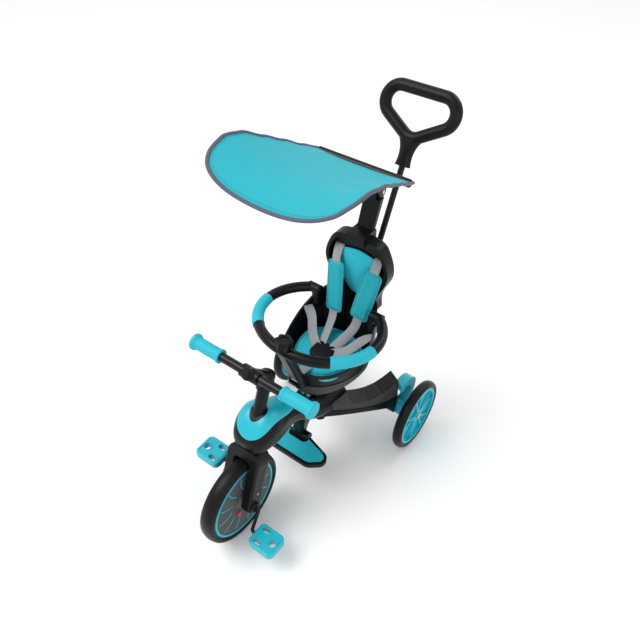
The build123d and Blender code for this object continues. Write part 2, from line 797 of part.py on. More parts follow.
bolt_y = MOUNT_FRONT - 0.58 * MOUNT_FLANGE
bolt_plane = Plane(
    origin=(0, bolt_y, flange_top + (MOUNT_FRONT - bolt_y) * flange_rise),
    x_dir=(1, 0, 0),
    z_dir=Vector(0, flange_rise, 1).normalized(),
)
with BuildPart() as seat_bolts:
    with BuildSketch(bolt_plane):
        with GridLocations(2.6 * BOLT_R, 0, 2, 1):
            Circle(BOLT_R)
    extrude(amount=4)
    with BuildSketch(bolt_plane.offset(4)):
        with GridLocations(2.6 * BOLT_R, 0, 2, 1):
            RegularPolygon(BOLT_R / 2, 6)
    extrude(amount=-2.5, mode=Mode.SUBTRACT)
seat_bolts.part.label = "seat_bolts"
export_step(seat_bolts.part, "parts/seat_bolts.step")

# Coloured cover of the head and spine: a thin skin with a rounded plan outline
cover_side_y = HEAD.Y + 12
with BuildPart() as frame_cover:
    add(spine(COVER_T))
    with BuildSketch(Plane.XY.offset(SPINE[-3][1])):
        with BuildLine() as cover_side:
            Spline(
                (0, HEAD.Y - COVER_NOSE),
                (COVER_NOSE_HALF, cover_side_y),
                (COVER_WAIST_HALF, COVER_WAIST_Y),
                (COVER_TAIL_HALF, MOUNT_FRONT),
                (MOUNT_HALF, COVER_TAIL_Y),
                tangents=((1, 0), (-1, 0.2)),
            )
            Line((MOUNT_HALF, COVER_TAIL_Y), (0, COVER_TAIL_Y))
            Line((0, COVER_TAIL_Y), (0, HEAD.Y - COVER_NOSE))
        make_face()
        mirror(about=Plane.YZ)
    extrude(amount=260, mode=Mode.INTERSECT)
    with BuildSketch(side_plane(-COVER_NOSE_HALF - 20)):
        with BuildLine():
            Polyline(
                *[(y, (bottom + top) / 2) for y, bottom, top, half in SPINE],
                (SPINE[-1][0], SPINE[0][1] - 120),
                (SPINE[0][0] - 10, SPINE[0][1] - 120),
                (SPINE[0][0] - 10, (SPINE[0][1] + SPINE[0][2]) / 2),
                close=True,
            )
        make_face()
    extrude(amount=2 * COVER_NOSE_HALF + 40, mode=Mode.SUBTRACT)
    add(spine_solid, mode=Mode.SUBTRACT)
    with BuildSketch(steer_plane(HEAD_BASE)):
        Circle(BUSH_R + SEAT_GAP)
    extrude(amount=HEAD_TUBE + 60, mode=Mode.SUBTRACT)
    with BuildSketch(Plane.XY.offset(190)):
        with Locations((0, (MOUNT_FRONT - MOUNT_FLANGE + MOUNT_REAR) / 2)):
            Rectangle(2 * MOUNT_HALF + 0.6, MOUNT_REAR - MOUNT_FRONT + MOUNT_FLANGE + 0.6)
    extrude(amount=110, mode=Mode.SUBTRACT)
    cover_top = frame_cover.solids().sort_by(SortBy.VOLUME)[-1]
with BuildPart() as frame_cover:
    add(cover_top)
frame_cover.part.label = "frame_cover"
export_step(frame_cover.part, "parts/frame_cover.step")

# Bush in the head: its rim follows the cover and rings the column
with BuildPart() as head_bush:
    with BuildSketch(steer_plane(HEAD_BASE)):
        Circle(BUSH_R)
    extrude(amount=HEAD_TUBE + 60)
    add(spine(COVER_T + BUSH_LIP), mode=Mode.INTERSECT)
    with BuildSketch(steer_plane(HEAD_BASE - 1)):
        Circle(COLUMN_R + RUNNING_FIT)
    extrude(amount=HEAD_TUBE + 62, mode=Mode.SUBTRACT)
head_bush.part.label = "head_bush"
export_step(head_bush.part, "parts/head_bush.step")

# Release knob under the spine
knob_top = SPINE[-2][1] - KNOB_DROP
with BuildPart() as knob_base:
    with BuildSketch(Plane.XY.offset(knob_top)):
        with Locations((0, KNOB_Y)):
            Circle(KNOB_R - 5)
    extrude(amount=30)
    add(frame_main.part, mode=Mode.SUBTRACT)
    knob_neck = knob_base.solids().sort_by(Axis.Z)[0]
with BuildPart() as knob_base:
    add(knob_neck)
    with BuildSketch(Plane.XY.offset(knob_top - KNOB_H + 3)):
        with Locations((0, KNOB_Y)):
            Circle(6)
    extrude(amount=KNOB_H - 3)
knob_base.part.label = "knob_base"
export_step(knob_base.part, "parts/knob_base.step")

with BuildPart() as release_knob:
    with BuildSketch(Plane.XY.offset(knob_top - STEER_GAP)):
        with Locations((0, KNOB_Y)):
            Circle(KNOB_R)
    extrude(amount=-KNOB_H)
    fillet(release_knob.faces().sort_by(Axis.Z)[0].edges(), radius=4)
    with BuildSketch(Plane.XY.offset(knob_top)):
        with Locations((0, KNOB_Y)):
            with PolarLocations(KNOB_R + 2, 8):
                Circle(4)
    extrude(amount=-KNOB_H - 2, mode=Mode.SUBTRACT)
    with BuildSketch(Plane.XY.offset(knob_top)):
        with Locations((0, KNOB_Y)):
            Circle(6 + RUNNING_FIT)
    extrude(amount=-KNOB_H + 2, mode=Mode.SUBTRACT)
release_knob.part.label = "release_knob"
export_step(release_knob.part, "parts/release_knob.step")

# Rear brackets: a hub sleeve outside the housing and an arch behind the end of the leg
wheel_inner = REAR_TRACK / 2 - REAR_TYRE_W / 2
bracket_outer = housing_outer + BRACKET_T
leg_end = LEG[-1]
leg_out = leg_direction(len(LEG) - 1)


def bracket():
    """Left bracket: hub sleeve, and a curved arm that rests on the end of the leg."""
    with BuildPart() as body:
        add(rod_x(BRACKET_HUB_R, housing_outer, bracket_outer, REAR_AXLE_Y, REAR_WHEEL_R))
        fillet(body.faces().sort_by(Axis.X)[-1].edges(), radius=3)
        with BuildSketch(side_plane(housing_outer - 4)) as arm:
            with BuildLine():
                Spline(
                    (REAR_AXLE_Y - 22, leg_end[4] - 6),
                    (REAR_AXLE_Y + 22, leg_end[4] - 8),
                    (REAR_AXLE_Y + 54, leg_end[4] - 44),
                    (REAR_AXLE_Y + 40, REAR_WHEEL_R + 20),
                    (REAR_AXLE_Y + 10, REAR_WHEEL_R - 14),
                    tangents=((1, 0.15), (-0.8, -0.6)),
                )
                Line((REAR_AXLE_Y + 10, REAR_WHEEL_R - 14), (REAR_AXLE_Y, REAR_WHEEL_R + 12))
                Spline(
                    (REAR_AXLE_Y, REAR_WHEEL_R + 12),
                    (REAR_AXLE_Y + 24, REAR_WHEEL_R + 40),
                    (REAR_AXLE_Y + 28, leg_end[4] - 48),
                    (REAR_AXLE_Y + 8, leg_end[4] - 30),
                    (REAR_AXLE_Y - 22, leg_end[4] - 30),
                    tangents=((0.6, 0.8), (-1, 0)),
                )
                Line((REAR_AXLE_Y - 22, leg_end[4] - 30), (REAR_AXLE_Y - 22, leg_end[4] - 6))
            make_face()
        extrude(amount=bracket_outer - housing_outer)
        add(rod_x(HOUSING_R, 0, housing_outer, REAR_AXLE_Y, REAR_WHEEL_R), mode=Mode.SUBTRACT)
        clear_leg = Plane(
            origin=Vector(leg_end[0], leg_end[1], leg_end[4]) + leg_out * SEAT_GAP,
            z_dir=leg_out,
        )
        split(bisect_by=clear_leg, keep=Keep.TOP)
        add(
            rod_x(AXLE_R, housing_outer - 10, bracket_outer + 10, REAR_AXLE_Y, REAR_WHEEL_R),
            mode=Mode.SUBTRACT,
        )
    return body.part


bracket_solid = bracket()
with BuildPart() as rear_brackets:
    add(bracket_solid)
    mirror(about=Plane.YZ)
rear_brackets.part.label = "rear_brackets"
export_step(rear_brackets.part, "parts/rear_brackets.step")

axle_end = REAR_TRACK / 2 + REAR_RIM_W / 2 - 3
with BuildPart() as rear_axles:
    add(rod_x(AXLE_R, HOUSING_START + 2, axle_end + 4, REAR_AXLE_Y, REAR_WHEEL_R))
    add(rod_x(AXLE_HEAD_R, axle_end + 0.4, axle_end + 4, REAR_AXLE_Y, REAR_WHEEL_R))
    mirror(about=Plane.YZ)
rear_axles.part.label = "rear_axles"
export_step(rear_axles.part, "parts/rear_axles.step")

# Rear wheels
rear_x = REAR_TRACK / 2
with BuildPart() as rear_tyre_left:
    add(tyre(REAR_WHEEL_R, REAR_TYRE_W, REAR_RIM_R, rear_x, REAR_AXLE_Y))
rear_tyre_left.part.label = "rear_tyre_left"
export_step(rear_tyre_left.part, "parts/rear_tyre_left.step")

with BuildPart() as rear_tyre_right:
    add(tyre(REAR_WHEEL_R, REAR_TYRE_W, REAR_RIM_R, -rear_x, REAR_AXLE_Y))
rear_tyre_right.part.label = "rear_tyre_right"
export_step(rear_tyre_right.part, "parts/rear_tyre_right.step")


def rear_rim():
    """Left rim: outer ring, thin web, hub and pairs of standing spokes."""
    web_x = rear_x - REAR_WEB_T / 2
    hub_start = bracket_outer + STEER_GAP
    ring_inner = REAR_RIM_R - REAR_RING_T
    reach = ring_inner + 1
    with BuildSketch() as pair:
        for turn in (-SPOKE_SPREAD, SPOKE_SPREAD):
            with BuildLine():
                ThreePointArc(
                    (REAR_HUB_R - 3, turn * 0.2),
                    (ring_inner * 0.55, turn * 0.5),
                    (reach * math.cos(math.radians(turn)), reach * math.sin(math.radians(turn))),
                )
            trace(line_width=SPOKE_W)
    with BuildPart() as body:
        with BuildSketch(side_plane(rear_x - REAR_RIM_W / 2, REAR_AXLE_Y, REAR_WHEEL_R)):
            Circle(REAR_RIM_R)
            Circle(ring_inner, mode=Mode.SUBTRACT)
        extrude(amount=REAR_RIM_W)
        add(rod_x(reach, web_x, web_x + REAR_WEB_T, REAR_AXLE_Y, REAR_WHEEL_R))
        with BuildSketch(side_plane(web_x + REAR_WEB_T / 2, REAR_AXLE_Y, REAR_WHEEL_R)):
            with PolarLocations(0, SPOKE_COUNT, start_angle=18):
                add(pair.sketch)
        extrude(amount=REAR_WEB_T / 2 + SPOKE_STAND)
        add(rod_x(REAR_HUB_R, hub_start, axle_end, REAR_AXLE_Y, REAR_WHEEL_R))
        add(
            rod_x(AXLE_R + RUNNING_FIT, hub_start - 1, axle_end + 9, REAR_AXLE_Y, REAR_WHEEL_R),
            mode=Mode.SUBTRACT,
        )
    return body.part


rim_solid = rear_rim()
with BuildPart() as rear_rim_left:
    add(rim_solid)
rear_rim_left.part.label = "rear_rim_left"
export_step(rear_rim_left.part, "parts/rear_rim_left.step")

with BuildPart() as rear_rim_right:
    add(mirror(rim_solid, about=Plane.YZ))
rear_rim_right.part.label = "rear_rim_right"
export_step(rear_rim_right.part, "parts/rear_rim_right.step")

# Footrest: a pod under the spine, and a tray with a mat that folds down about a pin
footrest_pin_z = FOOTREST_TOP - 2


def footrest_outline(border=0.0):
    """Plan of the footrest: straight front, rounded tips and rear edges drawn in to the pod."""
    front = FOOTREST_Y - FOOTREST_REACH
    corners = (
        (FOOTREST_FRONT_HALF, front + FOOTREST_CORNER_R, FOOTREST_CORNER_R),
        (FOOTREST_HALF - FOOTREST_TIP_R, front + FOOTREST_TIP_BACK, FOOTREST_TIP_R),
        (FOOTREST_TAIL_HALF, FOOTREST_Y + FOOTREST_TAIL - FOOTREST_TAIL_R, FOOTREST_TAIL_R),
    )
    with BuildSketch() as outline:
        for x, y, radius in corners:
            with Locations((-x, y), (x, y)):
                Circle(radius - border)
        make_hull()
    return outline.sketch


pod_reach = FOOTREST_POD_HALF + STEER_GAP / 2
with BuildPart() as footrest_pod:
    add(
        rod_x(
            FOOTREST_BARREL_R,
            -FOOTREST_POD_HALF,
            FOOTREST_POD_HALF,
            FOOTREST_Y,
            footrest_pin_z,
        )
    )
    loft(
        sections=[
            rounded(
                Plane.XY.offset(footrest_pin_z) * Location((0, FOOTREST_Y, 0)),
                2 * FOOTREST_POD_HALF - 2,
                24,
                6,
            ),
            rounded(
                Plane.XY.offset(footrest_pin_z + 22) * Location((0, FOOTREST_Y, 0)),
                2 * FOOTREST_POD_HALF - 2,
                26,
                6,
            ),
            rounded(Plane.XY.offset(footrest_pin_z + 55) * Location((0, FOOTREST_Y + 4, 0)), 38, 40, 9),
            rounded(Plane.XY.offset(footrest_pin_z + 100) * Location((0, FOOTREST_Y + 12, 0)), 44, 56, 12),
        ]
    )
    add(spine_solid, mode=Mode.SUBTRACT)
    pod_neck = footrest_pod.solids().sort_by(Axis.Z)[0]
with BuildPart() as footrest_pod:
    add(pod_neck)
    add(
        rod_x(FOOTREST_PIN_R + RUNNING_FIT, -pod_reach, pod_reach, FOOTREST_Y, footrest_pin_z),
        mode=Mode.SUBTRACT,
    )
footrest_pod.part.label = "footrest_pod"
export_step(footrest_pod.part, "parts/footrest_pod.step")

pin_half = pod_reach + FOOTREST_LUG + 2
with BuildPart() as footrest_pin:
    add(rod_x(FOOTREST_PIN_R, -pin_half, pin_half, FOOTREST_Y, footrest_pin_z))
footrest_pin.part.label = "footrest_pin"
export_step(footrest_pin.part, "parts/footrest_pin.step")

with BuildPart() as footrest_tray:
    with BuildSketch(Plane.XY.offset(FOOTREST_TOP - FOOTREST_T)):
        add(footrest_outline())
    extrude(amount=FOOTREST_T)
    fillet(footrest_tray.faces().sort_by(Axis.Z)[0].edges(), radius=5)
    fillet(footrest_tray.faces().sort_by(Axis.Z)[-1].edges(), radius=2)
    for side in (-1, 1):
        start = min(side * pod_reach, side * (pod_reach + FOOTREST_LUG))
        add(
            rod_x(
                FOOTREST_BARREL_R,
                start,
                start + FOOTREST_LUG,
                FOOTREST_Y,
                footrest_pin_z,
            )
        )
    add(
        rod_x(FOOTREST_BARREL_R + 1.5, -pod_reach, pod_reach, FOOTREST_Y, footrest_pin_z),
        mode=Mode.SUBTRACT,
    )
    with BuildSketch(Plane.XY.offset(FOOTREST_TOP - FOOTREST_T - 20)):
        with Locations((0, FOOTREST_Y + 20)):
            Rectangle(2 * pod_reach, 40)
    extrude(amount=60, mode=Mode.SUBTRACT)
    add(
        rod_x(
            FOOTREST_PIN_R + RUNNING_FIT,
            -pin_half - 1,
            pin_half + 1,
            FOOTREST_Y,
            footrest_pin_z,
        ),
        mode=Mode.SUBTRACT,
    )
    with BuildSketch(Plane.XY.offset(FOOTREST_TOP - MAT_SINK)) as mat_bed:
        add(footrest_outline(MAT_BORDER))
        with Locations((0, FOOTREST_Y + 8)):
            RectangleRounded(2 * (pod_reach + FOOTREST_LUG) + 8, 60, 12, mode=Mode.SUBTRACT)
    extrude(amount=MAT_SINK + 20, mode=Mode.SUBTRACT)
footrest_tray.part.label = "footrest_tray"
export_step(footrest_tray.part, "parts/footrest_tray.step")

with BuildPart() as footrest_mat:
    with BuildSketch(Plane.XY.offset(FOOTREST_TOP - MAT_SINK)):
        add(footrest_outline(MAT_BORDER + SEAT_GAP))
        with Locations((0, FOOTREST_Y + 8)):
            RectangleRounded(
                2 * (pod_reach + FOOTREST_LUG + SEAT_GAP) + 8, 60 + 2 * SEAT_GAP, 12, mode=Mode.SUBTRACT
            )
    extrude(amount=MAT_T)
footrest_mat.part.label = "footrest_mat"
export_step(footrest_mat.part, "parts/footrest_mat.step")

# Seat: egg-shaped stations as (z, half width, widest y, front y, rear y)
SKIRT = [
    (SKIRT_BOTTOM, 90, 68, -70, 128),
    ((SKIRT_BOTTOM + SEAT_SPLIT) / 2, 101, 68, -78, 135),
    (SEAT_SPLIT, 106, 68, -80, 142),
]
BUCKET = [
    (SEAT_SPLIT, 104, 68, -78, 141),
    (380, 114, 66, -83, 160),
    (425, 108, 70, -78, 183),
    (466, 99, 78, -60, 192),
]
RIM_LINE = [(-100, 371), (0, 376), (55, 392), (105, 428), (150, 456), (210, 462)]


def egg(z, half, wide_y, front, rear, inset=0.0):
    """Egg-shaped outline of the seat at one height."""
    with BuildSketch(Plane.XY.offset(z)) as outline:
        with BuildLine():
            EllipticalCenterArc((0, wide_y), half - inset, wide_y - front - inset, 180, arc_size=180)
            EllipticalCenterArc((0, wide_y), half - inset, rear - wide_y - inset, 0, arc_size=180)
        make_face()
    return outline.sketch


def egg_loft(stations, inset=0.0):
    """Solid through egg-shaped stations."""
    with BuildPart() as body:
        loft(sections=[egg(*station, inset) for station in stations])
    return body.part


bucket_solid = egg_loft(BUCKET)
with BuildPart() as seat_skirt:
    add(egg_loft(SKIRT))
    with BuildSketch(Plane.XY.offset(SKIRT_BOTTOM + SEAT_FLOOR_T)):
        add(egg(0, *SKIRT[0][1:], SEAT_WALL + 2))
    extrude(amount=SEAT_SPLIT - SKIRT_BOTTOM, taper=-10, mode=Mode.SUBTRACT)
    fillet(seat_skirt.faces().sort_by(Axis.Z)[0].edges(), radius=5)
seat_skirt.part.label = "seat_skirt"
export_step(seat_skirt.part, "parts/seat_skirt.step")


def back_outline(y, inset=0.0, drop=0.0):
    """Backrest seen from the front, drawn in at the waist and round at the top."""
    with BuildSketch(cross_plane(y)) as outline:
        with BuildLine():
            Spline(
                (BACK_FOOT_HALF - inset, BACK_FOOT - drop),
                (BACK_WAIST_HALF - inset, BACK_WAIST),
                (BACK_HEAD_HALF - inset, BACK_HEAD),
                (BACK_SHOULDER_HALF - inset, BACK_SHOULDER - 0.4 * inset),
                (0, BACK_TOP - inset),
                tangents=((-0.1, 1), (-1, 0)),
            )
            Line((BACK_FOOT_HALF - inset, BACK_FOOT - drop), (0, BACK_FOOT - drop))
            mirror(about=Plane.YZ)
        make_face()
    return outline.sketch


# Trim in the side of the bucket: the same prism cuts the wall and bounds the trim


def trim_prism(side):
    """Half-moon prism that crosses one front corner of the bucket."""
    left = side * TRIM_X - TRIM_LENGTH / 2
    right = side * TRIM_X + TRIM_LENGTH / 2
    with BuildPart() as prism:
        with BuildSketch(cross_plane(BUCKET[1][3] - 20)):
            with BuildLine():
                Line((left, TRIM_Z), (right, TRIM_Z))
                ThreePointArc((right, TRIM_Z), (side * TRIM_X, TRIM_Z - TRIM_H), (left, TRIM_Z))
            make_face()
        extrude(amount=-90)
    return prism.part


ring_plane = Plane(
    origin=(0, RING_Y, RING_Z),
    x_dir=(1, 0, 0),
    z_dir=(0, math.sin(math.radians(RING_TILT)), math.cos(math.radians(RING_TILT))),
)
ring_end = ring_plane.from_local_coords(
    Vector(
        RING_A * math.cos(math.radians(RING_END_ANGLE)),
        RING_B * math.sin(math.radians(RING_END_ANGLE)),
        0,
    )
)
eye_inner = ring_end.X - 9
eye_outer = ring_end.X + 9

back_panel = back_outline(BACK_FRONT_Y)
back_frame = back_outline(BACK_FRONT_Y)
back_open = back_outline(BACK_FRONT_Y, BACK_RIM_T, 60)
with BuildPart() as seat_shell:
    add(bucket_solid)
    with BuildSketch(side_plane(-150)):
        with BuildLine():
            Spline(*RIM_LINE)
            Polyline(RIM_LINE[-1], (RIM_LINE[-1][0], 520), (RIM_LINE[0][0], 520), RIM_LINE[0])
        make_face()
    extrude(amount=300, mode=Mode.SUBTRACT)
    add(egg_loft(BUCKET, SEAT_WALL), mode=Mode.SUBTRACT)
    with BuildSketch(Plane.XY.offset(SEAT_SPLIT)):
        add(egg(0, *BUCKET[0][1:], SEAT_GAP))
    extrude(amount=SEAT_FLOOR_T)
    extrude(back_panel, amount=-BACK_T)
    fillet(seat_shell.faces().sort_by(Axis.Y)[-1].edges(), radius=7)
    extrude(back_frame - back_open, amount=BACK_RIM)
    with BuildSketch(side_plane(eye_inner - STEER_GAP)):
        with Locations((ring_end.Y, ring_end.Z)):
            Circle(RING_R)
        with Locations((ring_end.Y + 8, ring_end.Z - 42)):
            Circle(RING_R + 5)
        make_hull()
    extrude(amount=-RING_LUG_T)
    with BuildSketch(side_plane(STEER_GAP - eye_inner)):
        with Locations((ring_end.Y, ring_end.Z)):
            Circle(RING_R)
        with Locations((ring_end.Y + 8, ring_end.Z - 42)):
            Circle(RING_R + 5)
        make_hull()
    extrude(amount=RING_LUG_T)
    with BuildSketch(cross_plane(BACK_FRONT_Y)):
        with Locations((-SLOT_X, SLOT_Z), (SLOT_X, SLOT_Z)):
            RectangleRounded(STRAP_W + 4, STRAP_T + 4, 2)
    extrude(amount=-BACK_T, mode=Mode.SUBTRACT)
    with BuildSketch(cross_plane(BUCKET[1][3] - 20)):
        with Locations((0, CROTCH_SLOT_Z)):
            RectangleRounded(STRAP_W + 3, STRAP_T + 5, 2)
    extrude(amount=-40, mode=Mode.SUBTRACT)
    for side in (-1, 1):
        add(trim_prism(side), mode=Mode.SUBTRACT)
    for side in (-1, 1):
        start = min(side * 70, side * eye_inner)
        add(
            rod_x(RING_PIN_R, start - 1, start + eye_inner - 68, ring_end.Y, ring_end.Z),
            mode=Mode.SUBTRACT,
        )
seat_shell.part.label = "seat_shell"
export_step(seat_shell.part, "parts/seat_shell.step")

with BuildPart() as seat_trims:
    for side in (-1, 1):
        add(trim_prism(side))
    add(bucket_solid, mode=Mode.INTERSECT)
    add(egg_loft(BUCKET, SEAT_WALL), mode=Mode.SUBTRACT)
seat_trims.part.label = "seat_trims"
export_step(seat_trims.part, "parts/seat_trims.step")

# Pads: cushions with a crown and drawn-in sides
seat_bed = SEAT_SPLIT + SEAT_FLOOR_T + SEAT_GAP
SEAT_PAD = (86, 62, -50, 126)
with BuildPart() as seat_pad:
    loft(
        sections=[
            egg(seat_bed, *SEAT_PAD, 4),
            egg(seat_bed + 0.45 * SEAT_PAD_T, *SEAT_PAD),
            egg(seat_bed + 0.8 * SEAT_PAD_T, *SEAT_PAD, 5),
            egg(seat_bed + SEAT_PAD_T, *SEAT_PAD, 22),
        ]
    )
seat_pad.part.label = "seat_pad"
export_step(seat_pad.part, "parts/seat_pad.step")


def back_pad_outline(y, inset):
    """Shield-shaped pad: wide and arched at the top, narrow at the foot."""
    with BuildSketch(cross_plane(y)) as outline:
        with BuildLine():
            ThreePointArc(
                (BACK_PAD_HALF - inset, BACK_PAD_TOP - 14 - inset),
                (0, BACK_PAD_TOP - inset),
                (inset - BACK_PAD_HALF, BACK_PAD_TOP - 14 - inset),
            )
            Spline(
                (inset - BACK_PAD_HALF, BACK_PAD_TOP - 14 - inset),
                (inset - BACK_PAD_HALF - 2, BACK_PAD_TOP - 60),
                (inset - BACK_PAD_FOOT_HALF, BACK_PAD_FOOT + 22 + inset),
                (0, BACK_PAD_FOOT + inset),
                (BACK_PAD_FOOT_HALF - inset, BACK_PAD_FOOT + 22 + inset),
                (BACK_PAD_HALF + 2 - inset, BACK_PAD_TOP - 60),
                (BACK_PAD_HALF - inset, BACK_PAD_TOP - 14 - inset),
            )
        make_face()
    return outline.sketch


back_bed = BACK_FRONT_Y - SEAT_GAP
with BuildPart() as back_pad:
    loft(
        sections=[
            back_pad_outline(back_bed, 2),
            back_pad_outline(back_bed - 0.45 * BACK_PAD_T, 0),
            back_pad_outline(back_bed - 0.8 * BACK_PAD_T, 3),
            back_pad_outline(back_bed - BACK_PAD_T, 12),
        ]
    )
back_pad.part.label = "back_pad"
export_step(back_pad.part, "parts/back_pad.step")

# Harness: flat webbing through points, with sleeves over the shoulder straps
SHOULDER_ROUTE = [
    Vector(SLOT_X, BACK_FRONT_Y + 12, SLOT_Z),
    Vector(SLOT_X, BACK_FRONT_Y - 5, SLOT_Z - 0.5),
    Vector(56, 158, 552),
    Vector(51, 151, 530),
    Vector(43, 134, 452),
    Vector(38, 124, 415),
    Vector(33, 107, 385),
    Vector(17, 44, 357),
]
WAIST_ROUTE = [
    Vector(99, 94, 408),
    Vector(78, 82, 391),
    Vector(54, 54, 366),
    Vector(22, 28, 356),
]
BUCKLE_Z = seat_bed + SEAT_PAD_T + 0.3


def band(route, width, thick, facing):
    """Flat band through points, its face turned towards each direction in turn, the last one kept."""
    sections = []
    for index, point in enumerate(route):
        before = route[max(index - 1, 0)]
        after = route[min(index + 1, len(route) - 1)]
        along = (after - before).normalized()
        across = along.cross(facing[min(index, len(facing) - 1)]).normalized()
        with BuildSketch(Plane(origin=point, x_dir=across, z_dir=along)) as section:
            Rectangle(width, thick)
        sections.append(section.sketch)
    with BuildPart() as body:
        loft(sections=sections, ruled=True)
    return body.part


SHOULDER_FACE = Vector(0.25, -0.9, 0.45)
WAIST_FACE = Vector(0, -0.55, 0.85)
RIM_FACE = Vector(-0.9, -0.3, 0.4)
SLOT_FACE = Vector(0, -0.2, 1)
shoulder_band = band(SHOULDER_ROUTE, STRAP_W, STRAP_T, (SLOT_FACE, SLOT_FACE, SHOULDER_FACE))
with BuildPart() as shoulder_straps:
    add(shoulder_band)
    mirror(about=Plane.YZ)
shoulder_straps.part.label = "shoulder_straps"
export_step(shoulder_straps.part, "parts/shoulder_straps.step")

waist_run = band(WAIST_ROUTE, STRAP_W, STRAP_T, (RIM_FACE, WAIST_FACE))
with BuildPart() as waist_trim:
    add(waist_run)
    add(egg_loft(BUCKET, SEAT_WALL), mode=Mode.INTERSECT)
waist_band = waist_trim.part.solids().sort_by(SortBy.VOLUME)[-1]
with BuildPart() as waist_straps:
    add(waist_band)
    mirror(about=Plane.YZ)
waist_straps.part.label = "waist_straps"
export_step(waist_straps.part, "parts/waist_straps.step")


def shoulder_pad():
    """Sewn sleeve round the left shoulder strap."""
    with BuildPart() as body:
        sections = []
        for point, draw in zip(SHOULDER_ROUTE[2:6], (0.86, 1.0, 1.0, 0.86)):
            along = (SHOULDER_ROUTE[5] - SHOULDER_ROUTE[2]).normalized()
            across = along.cross(SHOULDER_FACE).normalized()
            plane = Plane(origin=point, x_dir=across, z_dir=along)
            sections.append(rounded(plane, SHOULDER_PAD_W * draw, SHOULDER_PAD_T * draw, 4))
        loft(sections=sections)
        add(
            band(
                SHOULDER_ROUTE[1:7],
                STRAP_W + 2 * STRAP_FIT,
                STRAP_T + 2 * STRAP_FIT,
                (SLOT_FACE, SHOULDER_FACE),
            ),
            mode=Mode.SUBTRACT,
        )
    return body.part


pad_solid = shoulder_pad()
with BuildPart() as shoulder_pads:
    add(pad_solid)
    mirror(about=Plane.YZ)
shoulder_pads.part.label = "shoulder_pads"
export_step(shoulder_pads.part, "parts/shoulder_pads.step")

with BuildPart() as buckle:
    with BuildSketch(Plane.XY.offset(BUCKLE_Z)):
        with Locations((0, BUCKLE_Y)):
            RectangleRounded(BUCKLE_W, BUCKLE_L, 16)
    extrude(amount=BUCKLE_T)
    fillet(buckle.faces().sort_by(Axis.Z)[-1].edges(), radius=4)
    for facing in (1, -1):
        add(mirror(shoulder_band, about=Plane.YZ) if facing < 0 else shoulder_band, mode=Mode.SUBTRACT)
        add(mirror(waist_band, about=Plane.YZ) if facing < 0 else waist_band, mode=Mode.SUBTRACT)
buckle.part.label = "buckle"
export_step(buckle.part, "parts/buckle.step")

crotch_front = BUCKET[1][3]
with BuildPart() as crotch_strap:
    with BuildSketch(side_plane(-STRAP_W / 2)):
        with BuildLine() as crotch_line:
            Polyline(
                (BUCKLE_Y - BUCKLE_L / 2 - SEAT_GAP, BUCKLE_Z + 4),
                (-30, BUCKLE_Z + 2),
                (-58, CROTCH_SLOT_Z - 2),
                (crotch_front - 3, CROTCH_SLOT_Z),
                (crotch_front - 8, CROTCH_SLOT_Z - 14),
            )
            offset(amount=STRAP_T / 2, side=Side.BOTH)
        make_face()
    extrude(amount=STRAP_W)
    add(buckle.part, mode=Mode.SUBTRACT)
crotch_strap.part.label = "crotch_strap"
export_step(crotch_strap.part, "parts/crotch_strap.step")

ring_front = ring_plane.from_local_coords(Vector(0, -RING_B, 0))
knob_plane = Plane(origin=ring_front, x_dir=(1, 0, 0), z_dir=ring_plane.z_dir)
# Safety ring: an open ellipse of tube, hinged at its two ends beside the backrest
with BuildPart() as safety_ring:
    with BuildLine(ring_plane) as ring_path:
        EllipticalCenterArc(
            (0, 0),
            RING_A,
            RING_B,
            start_angle=180 - RING_END_ANGLE,
            arc_size=180 + 2 * RING_END_ANGLE,
        )
    with BuildSketch(Plane(origin=ring_path.line @ 0, z_dir=ring_path.line % 0)):
        Circle(RING_R)
    sweep()
    for side in (-1, 1):
        start = min(side * eye_inner, side * eye_outer)
        add(rod_x(RING_R, start, start + eye_outer - eye_inner, ring_end.Y, ring_end.Z))
    for side in (-1, 1):
        start = min(side * eye_inner, side * eye_outer)
        add(
            rod_x(
                RING_PIN_R + RUNNING_FIT,
                start - 12,
                start + eye_outer - eye_inner + 12,
                ring_end.Y,
                ring_end.Z,
            ),
            mode=Mode.SUBTRACT,
        )
    with BuildSketch(knob_plane):
        Circle(RING_KNOB_R - 8)
    extrude(amount=RING_R + RING_BOSS)
    with BuildSketch(knob_plane.offset(RING_R - RING_STEM)):
        Circle(RING_PIN_R + RUNNING_FIT)
    extrude(amount=RING_STEM + RING_BOSS + 1, mode=Mode.SUBTRACT)
safety_ring.part.label = "safety_ring"
export_step(safety_ring.part, "parts/safety_ring.step")

with BuildPart() as ring_grips:
    with BuildLine(ring_plane) as grip_path:
        EllipticalCenterArc(
            (0, 0), RING_A, RING_B, start_angle=RING_GRIP_START, arc_size=RING_GRIP_SWEEP
        )
    with BuildSketch(Plane(origin=grip_path.line @ 0, z_dir=grip_path.line % 0)):
        Circle(RING_R + RING_GRIP_T)
        Circle(RING_R + RUNNING_FIT, mode=Mode.SUBTRACT)
    sweep()
    mirror(about=Plane.YZ)
ring_grips.part.label = "ring_grips"
export_step(ring_grips.part, "parts/ring_grips.step")

with BuildPart() as ring_pins:
    add(rod_x(RING_PIN_R, eye_inner - 14, eye_outer - 1, ring_end.Y, ring_end.Z))
    mirror(about=Plane.YZ)
ring_pins.part.label = "ring_pins"
export_step(ring_pins.part, "parts/ring_pins.step")

